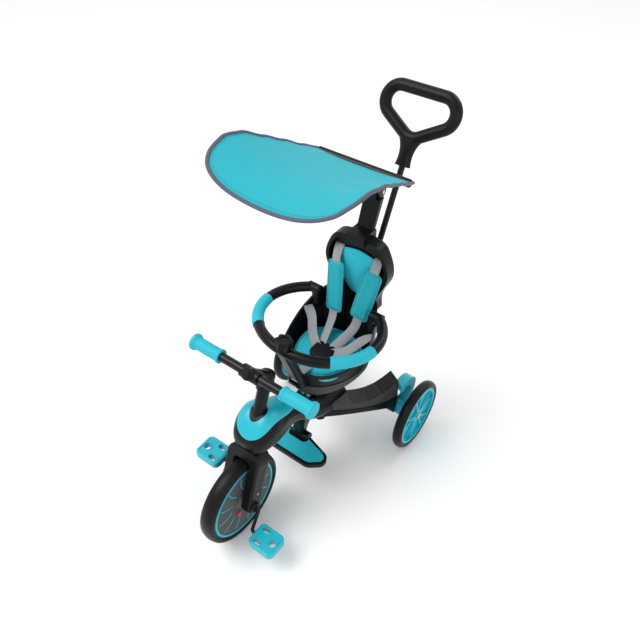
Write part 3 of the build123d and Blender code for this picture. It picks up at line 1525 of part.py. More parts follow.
# Lobed knob on top of the ring at the front
knob_foot = RING_R + RING_BOSS + STEER_GAP / 2
with BuildPart() as ring_knob:
    with BuildSketch(knob_plane.offset(knob_foot)):
        Circle(RING_KNOB_R)
        with PolarLocations(RING_KNOB_R + 3.5, RING_LOBES):
            Circle(7, mode=Mode.SUBTRACT)
    extrude(amount=RING_KNOB_H)
    fillet(ring_knob.faces().sort_by(Axis.Z)[-1].edges(), radius=2)
    with BuildSketch(knob_plane.offset(knob_foot + RING_KNOB_H - 2)):
        Circle(RING_KNOB_R - 10)
    extrude(amount=6, mode=Mode.SUBTRACT)
    with BuildSketch(knob_plane.offset(RING_R - RING_STEM + STEER_GAP)):
        Circle(RING_PIN_R)
    extrude(amount=RING_STEM + RING_BOSS)
ring_knob.part.label = "ring_knob"
export_step(ring_knob.part, "parts/ring_knob.step")

# Post from the front of the seat to the underside of the ring
with BuildPart() as ring_post:
    loft(
        sections=[
            rounded(Plane.XY.offset(SEAT_SPLIT) * Location((0, BUCKET[0][3] - 4, 0)), POST_W + 14, POST_T, 9),
            rounded(Plane.XY.offset(390) * Location((0, BUCKET[1][3] - 12, 0)), POST_W + 4, POST_T, 9),
            rounded(Plane.XY.offset(430) * Location((0, BUCKET[1][3] - 26, 0)), POST_W, POST_T, 9),
            rounded(Plane.XY.offset(ring_front.Z) * Location((0, ring_front.Y, 0)), POST_W, POST_T, 9),
        ]
    )
    add(bucket_solid, mode=Mode.SUBTRACT)
    with BuildLine(ring_plane) as over_post:
        EllipticalCenterArc((0, 0), RING_A, RING_B, start_angle=-115, arc_size=50)
    with BuildSketch(Plane(origin=over_post.line @ 0, z_dir=over_post.line % 0)):
        Circle(RING_R + 0.3)
    sweep(mode=Mode.SUBTRACT)
    with BuildSketch(Plane.XY.offset(ring_front.Z - 6)):
        with Locations((0, ring_front.Y)):
            Rectangle(80, 80)
    extrude(amount=60, mode=Mode.SUBTRACT)
    with BuildSketch(cross_plane(BUCKET[1][3] - 40)):
        with Locations((0, CROTCH_SLOT_Z - 8)):
            RectangleRounded(STRAP_W + 4, 26, 3)
    extrude(amount=-60, mode=Mode.SUBTRACT)
    post_solid = ring_post.solids().sort_by(SortBy.VOLUME)[-1]
with BuildPart() as ring_post:
    add(post_solid)
ring_post.part.label = "ring_post"
export_step(ring_post.part, "parts/ring_post.step")

# Push bar: socket on the frame, lower tube, sliding upper tube and looped handle
with BuildPart() as push_socket:
    with BuildSketch(push_plane(-20)):
        Circle(SOCKET_R + 5)
    with BuildSketch(push_plane(SOCKET_END)):
        Circle(SOCKET_R)
    loft()
    fillet(push_socket.faces().sort_by(Axis.Z)[-1].edges(), radius=3)
    with BuildSketch(push_plane(LOWER_TUBE_START)):
        Circle(LOWER_TUBE_R)
    extrude(amount=SOCKET_END, mode=Mode.SUBTRACT)
    add(frame_main.part, mode=Mode.SUBTRACT)
    socket_solid = push_socket.solids().sort_by(SortBy.VOLUME)[-1]
with BuildPart() as push_socket:
    add(socket_solid)
push_socket.part.label = "push_socket"
export_step(push_socket.part, "parts/push_socket.step")

upper_bottom = UPPER_TUBE_START - PUSH_TRAVEL - 10
with BuildPart() as push_bar_lower:
    with BuildSketch(push_plane(LOWER_TUBE_START)):
        Circle(LOWER_TUBE_R)
    extrude(amount=LOWER_TUBE_END - LOWER_TUBE_START)
    with BuildSketch(push_plane(LOWER_TUBE_END - 24)):
        Circle(LOWER_TUBE_R + 3)
    extrude(amount=24)
    chamfer(push_bar_lower.faces().sort_by(Axis.Z)[-1].edges(), length=1.5)
    with BuildSketch(push_plane(upper_bottom)):
        Circle(UPPER_TUBE_R + RUNNING_FIT)
    extrude(amount=LOWER_TUBE_END, mode=Mode.SUBTRACT)
push_bar_lower.part.label = "push_bar_lower"
export_step(push_bar_lower.part, "parts/push_bar_lower.step")

with BuildPart() as push_bar_upper:
    with BuildSketch(push_plane(UPPER_TUBE_START)):
        Circle(UPPER_TUBE_R)
    extrude(amount=UPPER_TUBE_END - UPPER_TUBE_START)
push_bar_upper.part.label = "push_bar_upper"
export_step(push_bar_upper.part, "parts/push_bar_upper.step")

handle_plane = Plane(
    origin=(0, PUSH_FOOT_Y, PUSH_FOOT_Z),
    x_dir=(1, 0, 0),
    z_dir=Vector(0, -PUSH_DIR.Z, PUSH_DIR.Y),
)
with BuildPart() as push_handle:
    with BuildLine(handle_plane) as loop_path:
        FilletPolyline(
            (HANDLE_HALF, HANDLE_TOP),
            (0, HANDLE_FOOT),
            (-HANDLE_HALF, HANDLE_TOP),
            radius=HANDLE_CORNER_R,
            close=True,
        )
    with BuildSketch(Plane(origin=loop_path.line @ 0, z_dir=loop_path.line % 0)):
        Circle(HANDLE_LOOP_R)
    sweep()
    sleeve_sections = []
    for rise, wide, deep in ((0, 21, 15.5), (22, 18, 15), (44, 21, 15), (68, 34, 14)):
        with BuildSketch(push_plane(HANDLE_START + rise), mode=Mode.PRIVATE) as sleeve:
            Ellipse(wide, deep)
        sleeve_sections.append(sleeve.sketch)
    loft(sections=sleeve_sections)
    with BuildSketch(push_plane(HANDLE_START - 1)):
        Circle(UPPER_TUBE_R)
    extrude(amount=UPPER_TUBE_END - HANDLE_START + 1, mode=Mode.SUBTRACT)
push_handle.part.label = "push_handle"
export_step(push_handle.part, "parts/push_handle.step")

# Canopy: a clamp over the top of the backrest, a post, and a tilting bracket with bar and sheet
CLAMP_HALF = CANOPY_POST_W / 2
clamp_back = BACK_FRONT_Y + BACK_T
clamp_face = BACK_FRONT_Y - BACK_RIM
with BuildPart() as canopy_clamp:
    with BuildSketch(side_plane(-CLAMP_HALF - 2)):
        with BuildLine():
            Polyline(
                (clamp_face - 8, BACK_TOP - CLAMP_DROP + 8),
                (clamp_face - 8, BACK_TOP + 12),
                (clamp_back + 10, BACK_TOP + 12),
                (clamp_back + 10, BACK_TOP - CLAMP_DROP - 20),
                (clamp_back + SEAT_GAP, BACK_TOP - CLAMP_DROP - 20),
                (clamp_back + SEAT_GAP, BACK_TOP + SEAT_GAP),
                (clamp_face - SEAT_GAP, BACK_TOP + SEAT_GAP),
                (clamp_face - SEAT_GAP, BACK_TOP - CLAMP_DROP + 8),
                close=True,
            )
        make_face()
    extrude(amount=2 * CLAMP_HALF + 4)
    fillet(canopy_clamp.edges().filter_by(Axis.X).sort_by(Axis.Z)[-2:], radius=5)

pivot_half = CANOPY_POST_W / 4
with BuildPart() as canopy_post:
    with BuildSketch(side_plane(-CLAMP_HALF)):
        with BuildLine():
            Polyline(
                (clamp_back - 6, BACK_TOP + 12),
                (clamp_back + 10, BACK_TOP + 12),
                (CANOPY_PIVOT_Y + CANOPY_EYE_R - 4, CANOPY_PIVOT_Z - CANOPY_EYE_R - 6),
                (CANOPY_PIVOT_Y - CANOPY_EYE_R + 2, CANOPY_PIVOT_Z - CANOPY_EYE_R - 6),
                close=True,
            )
        make_face()
    extrude(amount=CANOPY_POST_W)
    fillet(canopy_post.edges().filter_by(Axis.X, reverse=True).filter_by(Axis.Y, reverse=True), radius=4)
    with BuildSketch(side_plane(-pivot_half)):
        with Locations((CANOPY_PIVOT_Y, CANOPY_PIVOT_Z)):
            Circle(CANOPY_EYE_R)
        with Locations((CANOPY_PIVOT_Y, CANOPY_PIVOT_Z - CANOPY_EYE_R - 6)):
            Rectangle(2 * CANOPY_EYE_R - 4, 6)
        make_hull()
    extrude(amount=2 * pivot_half)
    add(canopy_clamp.part)
    add(
        rod_x(CANOPY_PIN_R, -CLAMP_HALF, CLAMP_HALF, CANOPY_PIVOT_Y, CANOPY_PIVOT_Z),
        mode=Mode.SUBTRACT,
    )
canopy_post.part.label = "canopy_post"
export_step(canopy_post.part, "parts/canopy_post.step")

with BuildPart() as canopy_pin:
    add(rod_x(CANOPY_PIN_R, -CLAMP_HALF - 2, CLAMP_HALF + 2, CANOPY_PIVOT_Y, CANOPY_PIVOT_Z))
canopy_pin.part.label = "canopy_pin"
export_step(canopy_pin.part, "parts/canopy_pin.step")

with BuildPart() as canopy_bar:
    add(rod_x(CANOPY_BAR_R, -CANOPY_BAR_HALF, CANOPY_BAR_HALF, CANOPY_BAR_Y, CANOPY_BAR_Z))
    fillet(canopy_bar.edges().filter_by(GeomType.CIRCLE), radius=3)
canopy_bar.part.label = "canopy_bar"
export_step(canopy_bar.part, "parts/canopy_bar.step")

with BuildPart() as canopy_bracket:
    with BuildSketch(side_plane(-CLAMP_HALF)):
        with Locations((CANOPY_PIVOT_Y, CANOPY_PIVOT_Z)):
            Circle(CANOPY_EYE_R)
        with Locations((CANOPY_BAR_Y + 6, CANOPY_BAR_Z - 10)):
            Circle(CANOPY_BAR_R)
        make_hull()
    extrude(amount=CANOPY_POST_W)
    with BuildSketch(side_plane(-pivot_half - STEER_GAP / 2)):
        with Locations((CANOPY_PIVOT_Y, CANOPY_PIVOT_Z)):
            Circle(CANOPY_EYE_R + 12)
    extrude(amount=2 * pivot_half + STEER_GAP, mode=Mode.SUBTRACT)
    add(rod_x(CANOPY_BAR_R, -CLAMP_HALF, CLAMP_HALF, CANOPY_BAR_Y, CANOPY_BAR_Z), mode=Mode.SUBTRACT)
    add(
        rod_x(
            CANOPY_PIN_R + RUNNING_FIT,
            -CLAMP_HALF,
            CLAMP_HALF,
            CANOPY_PIVOT_Y,
            CANOPY_PIVOT_Z,
        ),
        mode=Mode.SUBTRACT,
    )
canopy_bracket.part.label = "canopy_bracket"
export_step(canopy_bracket.part, "parts/canopy_bracket.step")

# Edge of the sheet on the left as (half width, y, z), from the bar round to the front
SHEET_EDGE = [
    (CANOPY_BAR_HALF + PIPING_R, CANOPY_BAR_Y, CANOPY_BAR_Z + 4),
    (137, 127, 848),
    (149, 77, 877),
    (161, 27, 904),
    (172, -23, 931),
    (173, -73, 943),
    (164, -123, 935),
    (140, -154, 921),
    (90, -168, 906),
    (0, -170, 893),
]
SHEET_CROWN = [821, 839, 858, 877, 894, 906, 908, 904]


def sheet_section(index):
    """Thin bowed strip across the sheet at one station, clear of the piping at its ends."""
    half, y, z = SHEET_EDGE[index]
    before = SHEET_EDGE[max(index - 1, 0)]
    after = SHEET_EDGE[index + 1]
    slope = (after[0] - before[0]) / (after[1] - before[1])
    ease = PIPING_R + SEAT_GAP + SHEET_EASE * index / (len(SHEET_CROWN) - 1)
    edge = half - ease * math.hypot(1, slope)
    middle = SHEET_CROWN[index]
    with BuildSketch(cross_plane(y)) as section:
        with BuildLine():
            ThreePointArc((-edge, z), (0, middle), (edge, z))
            Line((edge, z), (edge, z - SHEET_T))
            ThreePointArc((edge, z - SHEET_T), (0, middle - SHEET_T), (-edge, z - SHEET_T))
            Line((-edge, z - SHEET_T), (-edge, z))
        make_face()
    return section.sketch


with BuildPart() as canopy_piping:
    with BuildLine() as edge_path:
        Spline(
            *[Vector(x, y, z) for x, y, z in SHEET_EDGE],
            *[Vector(-x, y, z) for x, y, z in reversed(SHEET_EDGE[:-1])],
        )
    with BuildSketch(Plane(origin=edge_path.line @ 0, z_dir=edge_path.line % 0)):
        Circle(PIPING_R)
    sweep()
    add(
        rod_x(
            CANOPY_BAR_R + SEAT_GAP,
            -CANOPY_BAR_HALF - 0.3,
            CANOPY_BAR_HALF + 0.3,
            CANOPY_BAR_Y,
            CANOPY_BAR_Z,
        ),
        mode=Mode.SUBTRACT,
    )
canopy_piping.part.label = "canopy_piping"
export_step(canopy_piping.part, "parts/canopy_piping.step")

sheet_sections = [sheet_section(index) for index in range(len(SHEET_CROWN))]
with BuildPart() as canopy_sheet:
    loft(sections=sheet_sections)
    add(
        rod_x(
            CANOPY_BAR_R + SEAT_GAP,
            -CANOPY_BAR_HALF - 9,
            CANOPY_BAR_HALF + 9,
            CANOPY_BAR_Y,
            CANOPY_BAR_Z,
        ),
        mode=Mode.SUBTRACT,
    )
    sheet_solid = canopy_sheet.solids().sort_by(SortBy.VOLUME)[-1]
with BuildPart() as canopy_sheet:
    add(sheet_solid)
canopy_sheet.part.label = "canopy_sheet"
export_step(canopy_sheet.part, "parts/canopy_sheet.step")
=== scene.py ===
"""Looks of the children's tricycle: finishes, cloth, webbing, pads, thread, small relief and the studio."""

import json
import math

import bmesh
import bpy
from mathutils import Matrix, Vector
from mathutils.bvhtree import BVHTree


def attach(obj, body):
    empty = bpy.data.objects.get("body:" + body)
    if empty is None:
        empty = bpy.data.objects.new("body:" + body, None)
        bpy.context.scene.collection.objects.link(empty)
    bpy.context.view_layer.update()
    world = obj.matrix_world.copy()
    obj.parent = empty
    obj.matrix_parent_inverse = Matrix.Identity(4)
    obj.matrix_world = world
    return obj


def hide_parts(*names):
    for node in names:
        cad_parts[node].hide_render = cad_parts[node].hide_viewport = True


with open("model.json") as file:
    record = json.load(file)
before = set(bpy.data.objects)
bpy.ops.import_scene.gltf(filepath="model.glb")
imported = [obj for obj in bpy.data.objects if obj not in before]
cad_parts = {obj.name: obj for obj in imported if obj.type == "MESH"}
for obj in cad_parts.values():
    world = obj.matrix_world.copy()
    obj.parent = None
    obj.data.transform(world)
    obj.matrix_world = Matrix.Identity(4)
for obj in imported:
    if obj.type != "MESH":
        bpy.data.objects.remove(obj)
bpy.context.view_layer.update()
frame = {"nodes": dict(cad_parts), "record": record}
nodes = frame["nodes"]
scene = bpy.context.scene

# Sizes in metres, in the frame's own axes
FRONT_AXLE = (0.0, -0.322, 0.125)
REAR_AXLE_Y = 0.177
FRONT_TYRE_R = 0.125
REAR_TYRE_R = 0.104
STRAP_W = 0.025
STRAP_T = 0.0018
PIPING_R = 0.0045
SHEET_T = 0.0015

LEG_END = (0.137, 0.172)
LEG_WAY = (0.477, 0.879)
MAT_TOP = 0.119
STUD_R = 0.0019
STUD_FLATNESS = 0.45
STUD_ROWS = 4
STUD_COLUMNS = 5
STUD_START = (0.046, -0.1135)
STUD_PITCH = (0.0085, 0.0078)

# Colours, linear
TEAL = (0.006, 0.44, 0.545)
TEAL_CLOTH = (0.009, 0.405, 0.487)
TEAL_PAD = (0.016, 0.55, 0.665)
BLACK = (0.005, 0.005, 0.0054)
LEG_GREY = (0.047, 0.045, 0.043)
DISC_GREY = (0.075, 0.078, 0.078)
TYRE_BLACK = (0.0045, 0.0045, 0.0047)
WEBBING_GREY = (0.36, 0.36, 0.37)
PIPING_BLUE = (0.085, 0.1, 0.145)
ZINC = (0.52, 0.52, 0.53)
RED = (0.58, 0.008, 0.06)


def place(tree, kind, **values):
    """Adds a node; values that are properties are set, others are default values of inputs."""
    node = tree.nodes.new(kind)
    for name, value in values.items():
        if hasattr(node, name):
            setattr(node, name, value)
        else:
            node.inputs[name.replace("_", " ")].default_value = value
    return node


def math_node(tree, operation, first, second=None):
    """Math node whose inputs are sockets or numbers; returns its output."""
    node = tree.nodes.new("ShaderNodeMath")
    node.operation = operation
    for index, value in enumerate((first, second)):
        if value is None:
            continue
        if isinstance(value, (int, float)):
            node.inputs[index].default_value = value
        else:
            tree.links.new(value, node.inputs[index])
    return node.outputs[0]


def new_group(name, inputs, outputs):
    """Empty shader group with float inputs (name, default) and outputs (name, socket type)."""
    tree = bpy.data.node_groups.new(name, "ShaderNodeTree")
    for label, default in inputs:
        made = tree.interface.new_socket(name=label, in_out="INPUT", socket_type="NodeSocketFloat")
        made.default_value = default
    for label, kind in outputs:
        tree.interface.new_socket(name=label, in_out="OUTPUT", socket_type=kind)
    return tree, tree.nodes.new("NodeGroupInput"), tree.nodes.new("NodeGroupOutput")


def grain_group():
    """Fine spark-eroded grain of a moulded part, with slow changes of gloss and tone."""
    tree, given, result = new_group(
        "moulded_grain",
        [("Scale", 900.0), ("Tone Depth", 0.12), ("Gloss", 0.45), ("Gloss Spread", 0.08)],
        [("Height", "NodeSocketFloat"), ("Tone", "NodeSocketFloat"), ("Roughness", "NodeSocketFloat")],
    )
    where = place(tree, "ShaderNodeTexCoord")
    fine = place(tree, "ShaderNodeTexNoise", Detail=3.0, Roughness=0.6)
    slow = place(tree, "ShaderNodeTexNoise", Scale=9.0, Detail=4.0)
    link = tree.links.new
    link(where.outputs["Object"], fine.inputs["Vector"])
    link(given.outputs["Scale"], fine.inputs["Scale"])
    link(where.outputs["Object"], slow.inputs["Vector"])
    link(fine.outputs[0], result.inputs["Height"])
    centred = math_node(tree, "SUBTRACT", slow.outputs[0], 0.5)
    tone = math_node(tree, "MULTIPLY", centred, given.outputs["Tone Depth"])
    link(math_node(tree, "ADD", tone, 1.0), result.inputs["Tone"])
    spread = math_node(tree, "MULTIPLY", centred, given.outputs["Gloss Spread"])
    uneven = math_node(tree, "MULTIPLY", spread, 2.0)
    link(math_node(tree, "ADD", uneven, given.outputs["Gloss"]), result.inputs["Roughness"])
    return tree


def weave_group():
    """Plain weave on a flat map in metres: threads over and under, with a little uneven yarn; its Tone is
    painted shade and light, darker in the dips of the weave and lighter on the raised threads, with some
    uneven yarn tone.
    """
    tree, given, result = new_group(
        "plain_weave_painted_shade",
        [("Threads", 900.0), ("Tone Depth", 0.25)],
        [("Height", "NodeSocketFloat"), ("Tone", "NodeSocketFloat")],
    )
    made = tree.interface.new_socket(name="Map", in_out="INPUT", socket_type="NodeSocketVector")
    made.default_value = (0, 0, 0)
    link = tree.links.new
    parts = place(tree, "ShaderNodeSeparateXYZ")
    link(given.outputs["Map"], parts.inputs[0])
    turn = math_node(tree, "MULTIPLY", given.outputs["Threads"], math.tau)
    warp = math_node(tree, "SINE", math_node(tree, "MULTIPLY", parts.outputs[0], turn))
    weft = math_node(tree, "SINE", math_node(tree, "MULTIPLY", parts.outputs[1], turn))
    over = math_node(tree, "MULTIPLY", warp, weft)
    yarn = place(tree, "ShaderNodeTexNoise", Scale=420.0, Detail=2.0)
    link(given.outputs["Map"], yarn.inputs["Vector"])
    height = math_node(tree, "ADD", math_node(tree, "MULTIPLY", over, 0.5), yarn.outputs[0])
    link(height, result.inputs["Height"])
    # Painted shade and light: the colour follows the height, darker in the dips and lighter on the raised
    # threads, plus a little uneven yarn tone.
    painted_shade_and_yarn_tone = math_node(tree, "MULTIPLY", math_node(tree, "SUBTRACT", height, 0.5), given.outputs["Tone Depth"])
    link(math_node(tree, "ADD", painted_shade_and_yarn_tone, 1.0), result.inputs["Tone"])
    return tree


# Tyre grooves: slant, share of the turn left smooth, steepness, and reach below the crown
GROOVE_SLANT = 120.0
GROOVE_SMOOTH = 0.82
GROOVE_STEEP = 5.0
GROOVE_FOOT = 0.0105
GROOVE_TOP = 0.0018


def tread_group():
    """Slanted grooves across the crown of a tyre, about an axle along X."""
    tree, given, result = new_group(
        "tyre_grooves",
        [("Axle Y", 0.0), ("Axle Z", 0.1), ("Crown", 0.12), ("Count", 40.0)],
        [("Height", "NodeSocketFloat")],
    )
    where = place(tree, "ShaderNodeTexCoord")
    parts = place(tree, "ShaderNodeSeparateXYZ")
    tree.links.new(where.outputs["Object"], parts.inputs[0])
    y = math_node(tree, "SUBTRACT", parts.outputs[1], given.outputs["Axle Y"])
    z = math_node(tree, "SUBTRACT", parts.outputs[2], given.outputs["Axle Z"])
    angle = math_node(tree, "ARCTAN2", z, y)
    square = math_node(tree, "ADD", math_node(tree, "POWER", y, 2.0), math_node(tree, "POWER", z, 2.0))
    reach = math_node(tree, "SQRT", square)
    fall = math_node(tree, "SUBTRACT", reach, given.outputs["Crown"])
    slant = math_node(tree, "MULTIPLY", fall, GROOVE_SLANT)
    turns = math_node(tree, "ADD", math_node(tree, "MULTIPLY", angle, given.outputs["Count"]), slant)
    wave = math_node(tree, "SUBTRACT", math_node(tree, "COSINE", turns), GROOVE_SMOOTH)
    groove = math_node(tree, "MULTIPLY", math_node(tree, "MAXIMUM", wave, 0.0), GROOVE_STEEP)
    low = math_node(tree, "SUBTRACT", given.outputs["Crown"], GROOVE_FOOT)
    high = math_node(tree, "SUBTRACT", given.outputs["Crown"], GROOVE_TOP)
    above = math_node(tree, "GREATER_THAN", reach, low)
    below = math_node(tree, "LESS_THAN", reach, high)
    depth = math_node(tree, "MULTIPLY", groove, math_node(tree, "MULTIPLY", above, below))
    tree.links.new(math_node(tree, "SUBTRACT", 1.0, depth), result.inputs["Height"])
    return tree


GRAIN = grain_group()
WEAVE = weave_group()
TREAD = tread_group()


def shaded(tree, colour, tone):
    """Colour multiplied by a tone that changes over the surface; returns the colour socket."""
    node = place(tree, "ShaderNodeMix", data_type="RGBA", blend_type="MULTIPLY")
    node.inputs[0].default_value = 1.0
    node.inputs[6].default_value = (*colour, 1)
    tree.links.new(tone, node.inputs[7])
    return node.outputs[2]


def start_material(name):
    """New node material; returns it with its tree and its shader."""
    material = bpy.data.materials.new(name)
    material.use_nodes = True
    tree = material.node_tree
    return material, tree, tree.nodes["Principled BSDF"]


def bump(tree, height, strength, distance):
    """Bump node on a height; returns its normal."""
    node = place(tree, "ShaderNodeBump", Strength=strength, Distance=distance)
    tree.links.new(height, node.inputs["Height"])
    return node.outputs[0]


def moulded(name, colour, gloss=0.45, scale=900.0, depth=0.18, tone=0.14, shine=0.5, metal=0.0):
    """Moulded plastic, rubber or coated metal with grain, and gloss that changes slowly over it."""
    material, tree, shader = start_material(name)
    grain = place(tree, "ShaderNodeGroup")
    grain.node_tree = GRAIN
    grain.inputs["Scale"].default_value = scale
    grain.inputs["Tone Depth"].default_value = tone
    grain.inputs["Gloss"].default_value = gloss
    link = tree.links.new
    link(shaded(tree, colour, grain.outputs["Tone"]), shader.inputs["Base Color"])
    link(grain.outputs["Roughness"], shader.inputs["Roughness"])
    link(bump(tree, grain.outputs["Height"], depth, 0.0006), shader.inputs["Normal"])
    shader.inputs["Specular IOR Level"].default_value = shine
    shader.inputs["Metallic"].default_value = metal
    return material


def carved(name, colour, group, values, gloss, depth, shine):
    """Moulded surface with larger relief from a group laid over the grain."""
    material = moulded(name, colour, gloss=gloss, scale=900, depth=0.15, shine=shine)
    tree = material.node_tree
    relief = place(tree, "ShaderNodeGroup")
    relief.node_tree = group
    for label, value in values.items():
        relief.inputs[label].default_value = value
    fine = next(node for node in tree.nodes if node.type == "BUMP")
    coarse = place(tree, "ShaderNodeBump", Strength=0.9, Distance=depth)
    tree.links.new(relief.outputs["Height"], coarse.inputs["Height"])
    tree.links.new(coarse.outputs[0], fine.inputs["Normal"])
    return material


def cloth(name, colour, threads, source="UV", turn=(0, 0, 0), depth=0.5, tone=0.3):
    """Woven cloth on the piece's own map, or on its place where it has none."""
    material, tree, shader = start_material(name)
    link = tree.links.new
    where = place(tree, "ShaderNodeTexCoord")
    mapping = place(tree, "ShaderNodeMapping")
    mapping.inputs["Rotation"].default_value = turn
    link(where.outputs[source], mapping.inputs["Vector"])
    weave = place(tree, "ShaderNodeGroup")
    weave.node_tree = WEAVE
    weave.inputs["Threads"].default_value = threads
    weave.inputs["Tone Depth"].default_value = tone
    link(mapping.outputs[0], weave.inputs["Map"])
    # Base colour carries painted shade in the dips of the weave and painted light on the raised threads,
    # with a little uneven yarn tone; tone sets how deep it goes.
    link(shaded(tree, colour, weave.outputs["Tone"]), shader.inputs["Base Color"])
    link(bump(tree, weave.outputs["Height"], depth, 0.0005), shader.inputs["Normal"])
    shader.inputs["Roughness"].default_value = 0.82
    shader.inputs["Sheen Weight"].default_value = 0.06
    return material


FINISH = {
    "tyre": moulded("tyre_foam", TYRE_BLACK, gloss=0.36, scale=500, depth=0.2, shine=0.16),
    "black_plastic": moulded("black_plastic", BLACK, gloss=0.3, scale=1100, depth=0.12, shine=0.16),
    "grey_plastic": moulded("grey_plastic", LEG_GREY, gloss=0.5, scale=1100, depth=0.2, shine=0.25),
    "disc_grey": moulded("disc_grey", DISC_GREY, gloss=0.5, scale=1000, depth=0.15, shine=0.3),
    "teal_plastic": moulded("teal_plastic", TEAL, gloss=0.33, scale=1300, depth=0.08, tone=0.08),
    "teal_rubber": moulded("teal_rubber", TEAL, gloss=0.6, scale=700, depth=0.25, tone=0.1),
    "teal_fabric": cloth("teal_cloth", TEAL_CLOTH, 700),
    "webbing": cloth("grey_webbing", WEBBING_GREY, 420, depth=0.9, tone=0.35),
    "piping": cloth("piping_tape", PIPING_BLUE, 700, source="Object", depth=0.4),
    "black_tube": moulded("black_tube", BLACK, gloss=0.22, scale=1500, depth=0.06, shine=0.22),
    "steel": moulded("zinc_steel", ZINC, gloss=0.3, scale=1500, depth=0.05, metal=1.0),
    "red_plastic": moulded("red_plastic", RED, gloss=0.3, scale=1300, depth=0.06, tone=0.06),
}
PAD_CLOTH = cloth("teal_pad_cloth", TEAL_PAD, 600, source="Object")
BACK_CLOTH = cloth("teal_back_cloth", TEAL_PAD, 600, source="Object", turn=(math.radians(90), 0, 0))
THREAD = moulded("teal_thread", (0.002, 0.19, 0.245), gloss=0.7, scale=3000, depth=0.1)

for part in frame["record"]["subparts"]:
    mesh = nodes[part["node"]].data
    mesh.materials.clear()
    mesh.materials.append(FINISH[part["material_slot"]])

FRONT_TREAD = carved(
    "front_tread",
    TYRE_BLACK,
    TREAD,
    {"Axle Y": FRONT_AXLE[1], "Axle Z": FRONT_AXLE[2], "Crown": FRONT_TYRE_R, "Count": 44.0},
    gloss=0.34,
    depth=0.0012,
    shine=0.16,
)
REAR_TREAD = carved(
    "rear_tread",
    TYRE_BLACK,
    TREAD,
    {"Axle Y": REAR_AXLE_Y, "Axle Z": REAR_TYRE_R, "Crown": REAR_TYRE_R, "Count": 38.0},
    gloss=0.34,
    depth=0.001,
    shine=0.16,
)
for node, finish in (
    ("front_tyre", FRONT_TREAD),
    ("rear_tyre_left", REAR_TREAD),
    ("rear_tyre_right", REAR_TREAD),
):
    nodes[node].data.materials[0] = finish


def linked(name, mesh, material=None):
    """New object for a mesh, in the scene, at the origin."""
    piece = bpy.data.objects.new(name, mesh)
    scene.collection.objects.link(piece)
    if material is not None:
        mesh.materials.clear()
        mesh.materials.append(material)
    return piece


def baked(piece):
    """The piece with its modifiers turned into plain mesh."""
    depsgraph = bpy.context.evaluated_depsgraph_get()
    mesh = bpy.data.meshes.new_from_object(piece.evaluated_get(depsgraph))
    name = piece.name
    materials = [slot.material for slot in piece.material_slots]
    bpy.data.objects.remove(piece)
    done = linked(name, mesh)
    if not mesh.materials:
        for material in materials:
            mesh.materials.append(material)
    return done


def smooth(mesh):
    """Rounded shading all over."""
    mesh.polygons.foreach_set("use_smooth", [True] * len(mesh.polygons))
    mesh.update()


def grid_mesh(name, rows, closed_rows=False, closed_columns=False, uv=None):
    """Mesh of quads from rows of points; uv gives a flat place in metres for each row and column."""
    mesh = bpy.data.meshes.new(name)
    width = len(rows[0])
    points = [point for row in rows for point in row]
    faces = []
    for i in range(len(rows) - (0 if closed_rows else 1)):
        for j in range(width - (0 if closed_columns else 1)):
            a = i * width + j
            b = i * width + (j + 1) % width
            c = ((i + 1) % len(rows)) * width + (j + 1) % width
            d = ((i + 1) % len(rows)) * width + j
            faces.append((a, b, c, d))
    mesh.from_pydata(points, [], faces)
    if uv is not None:
        layer = mesh.uv_layers.new(name="cut")
        for face in mesh.polygons:
            for corner in face.loop_indices:
                index = mesh.loops[corner].vertex_index
                layer.data[corner].uv = uv[index // width][index % width]
    smooth(mesh)
    return mesh


def catmull(points, steps):
    """Smooth line through points, with steps pieces in each gap."""
    line = []
    for index in range(len(points) - 1):
        p0 = points[max(index - 1, 0)]
        p1 = points[index]
        p2 = points[index + 1]
        p3 = points[min(index + 2, len(points) - 1)]
        for step in range(steps):
            t = step / steps
            line.append(
                0.5
                * (
                    2 * p1
                    + (p2 - p0) * t
                    + (2 * p0 - 5 * p1 + 4 * p2 - p3) * t * t
                    + (3 * p1 - p0 - 3 * p2 + p3) * t * t * t
                )
            )
    line.append(points[-1].copy())
    return line


def stitch_tree():
    """Geometry nodes: short stitches laid along a curve."""
    tree = bpy.data.node_groups.new("stitch_run", "GeometryNodeTree")
    new = tree.interface.new_socket
    new(name="Geometry", in_out="INPUT", socket_type="NodeSocketGeometry")
    for label in ("Pitch", "Length", "Radius"):
        new(name=label, in_out="INPUT", socket_type="NodeSocketFloat")
    new(name="Thread", in_out="INPUT", socket_type="NodeSocketMaterial")
    new(name="Geometry", in_out="OUTPUT", socket_type="NodeSocketGeometry")
    given = tree.nodes.new("NodeGroupInput")
    result = tree.nodes.new("NodeGroupOutput")
    points = place(tree, "GeometryNodeCurveToPoints", mode="LENGTH")
    ball = place(tree, "GeometryNodeMeshIcoSphere", Radius=1.0, Subdivisions=1)
    size = place(tree, "ShaderNodeCombineXYZ")
    laid = place(tree, "GeometryNodeInstanceOnPoints")
    real = place(tree, "GeometryNodeRealizeInstances")
    soft = place(tree, "GeometryNodeSetShadeSmooth")
    paint = place(tree, "GeometryNodeSetMaterial")
    link = tree.links.new
    link(given.outputs["Geometry"], points.inputs["Curve"])
    link(given.outputs["Pitch"], points.inputs["Length"])
    link(points.outputs["Points"], laid.inputs["Points"])
    link(points.outputs["Rotation"], laid.inputs["Rotation"])
    link(ball.outputs["Mesh"], laid.inputs["Instance"])
    link(given.outputs["Radius"], size.inputs[0])
    link(given.outputs["Radius"], size.inputs[1])
    link(given.outputs["Length"], size.inputs[2])
    link(size.outputs[0], laid.inputs["Scale"])
    link(laid.outputs[0], real.inputs[0])
    link(real.outputs[0], soft.inputs[0])
    link(soft.outputs[0], paint.inputs["Geometry"])
    link(given.outputs["Thread"], paint.inputs["Material"])
    link(paint.outputs[0], result.inputs[0])
    return tree


STITCHES = stitch_tree()


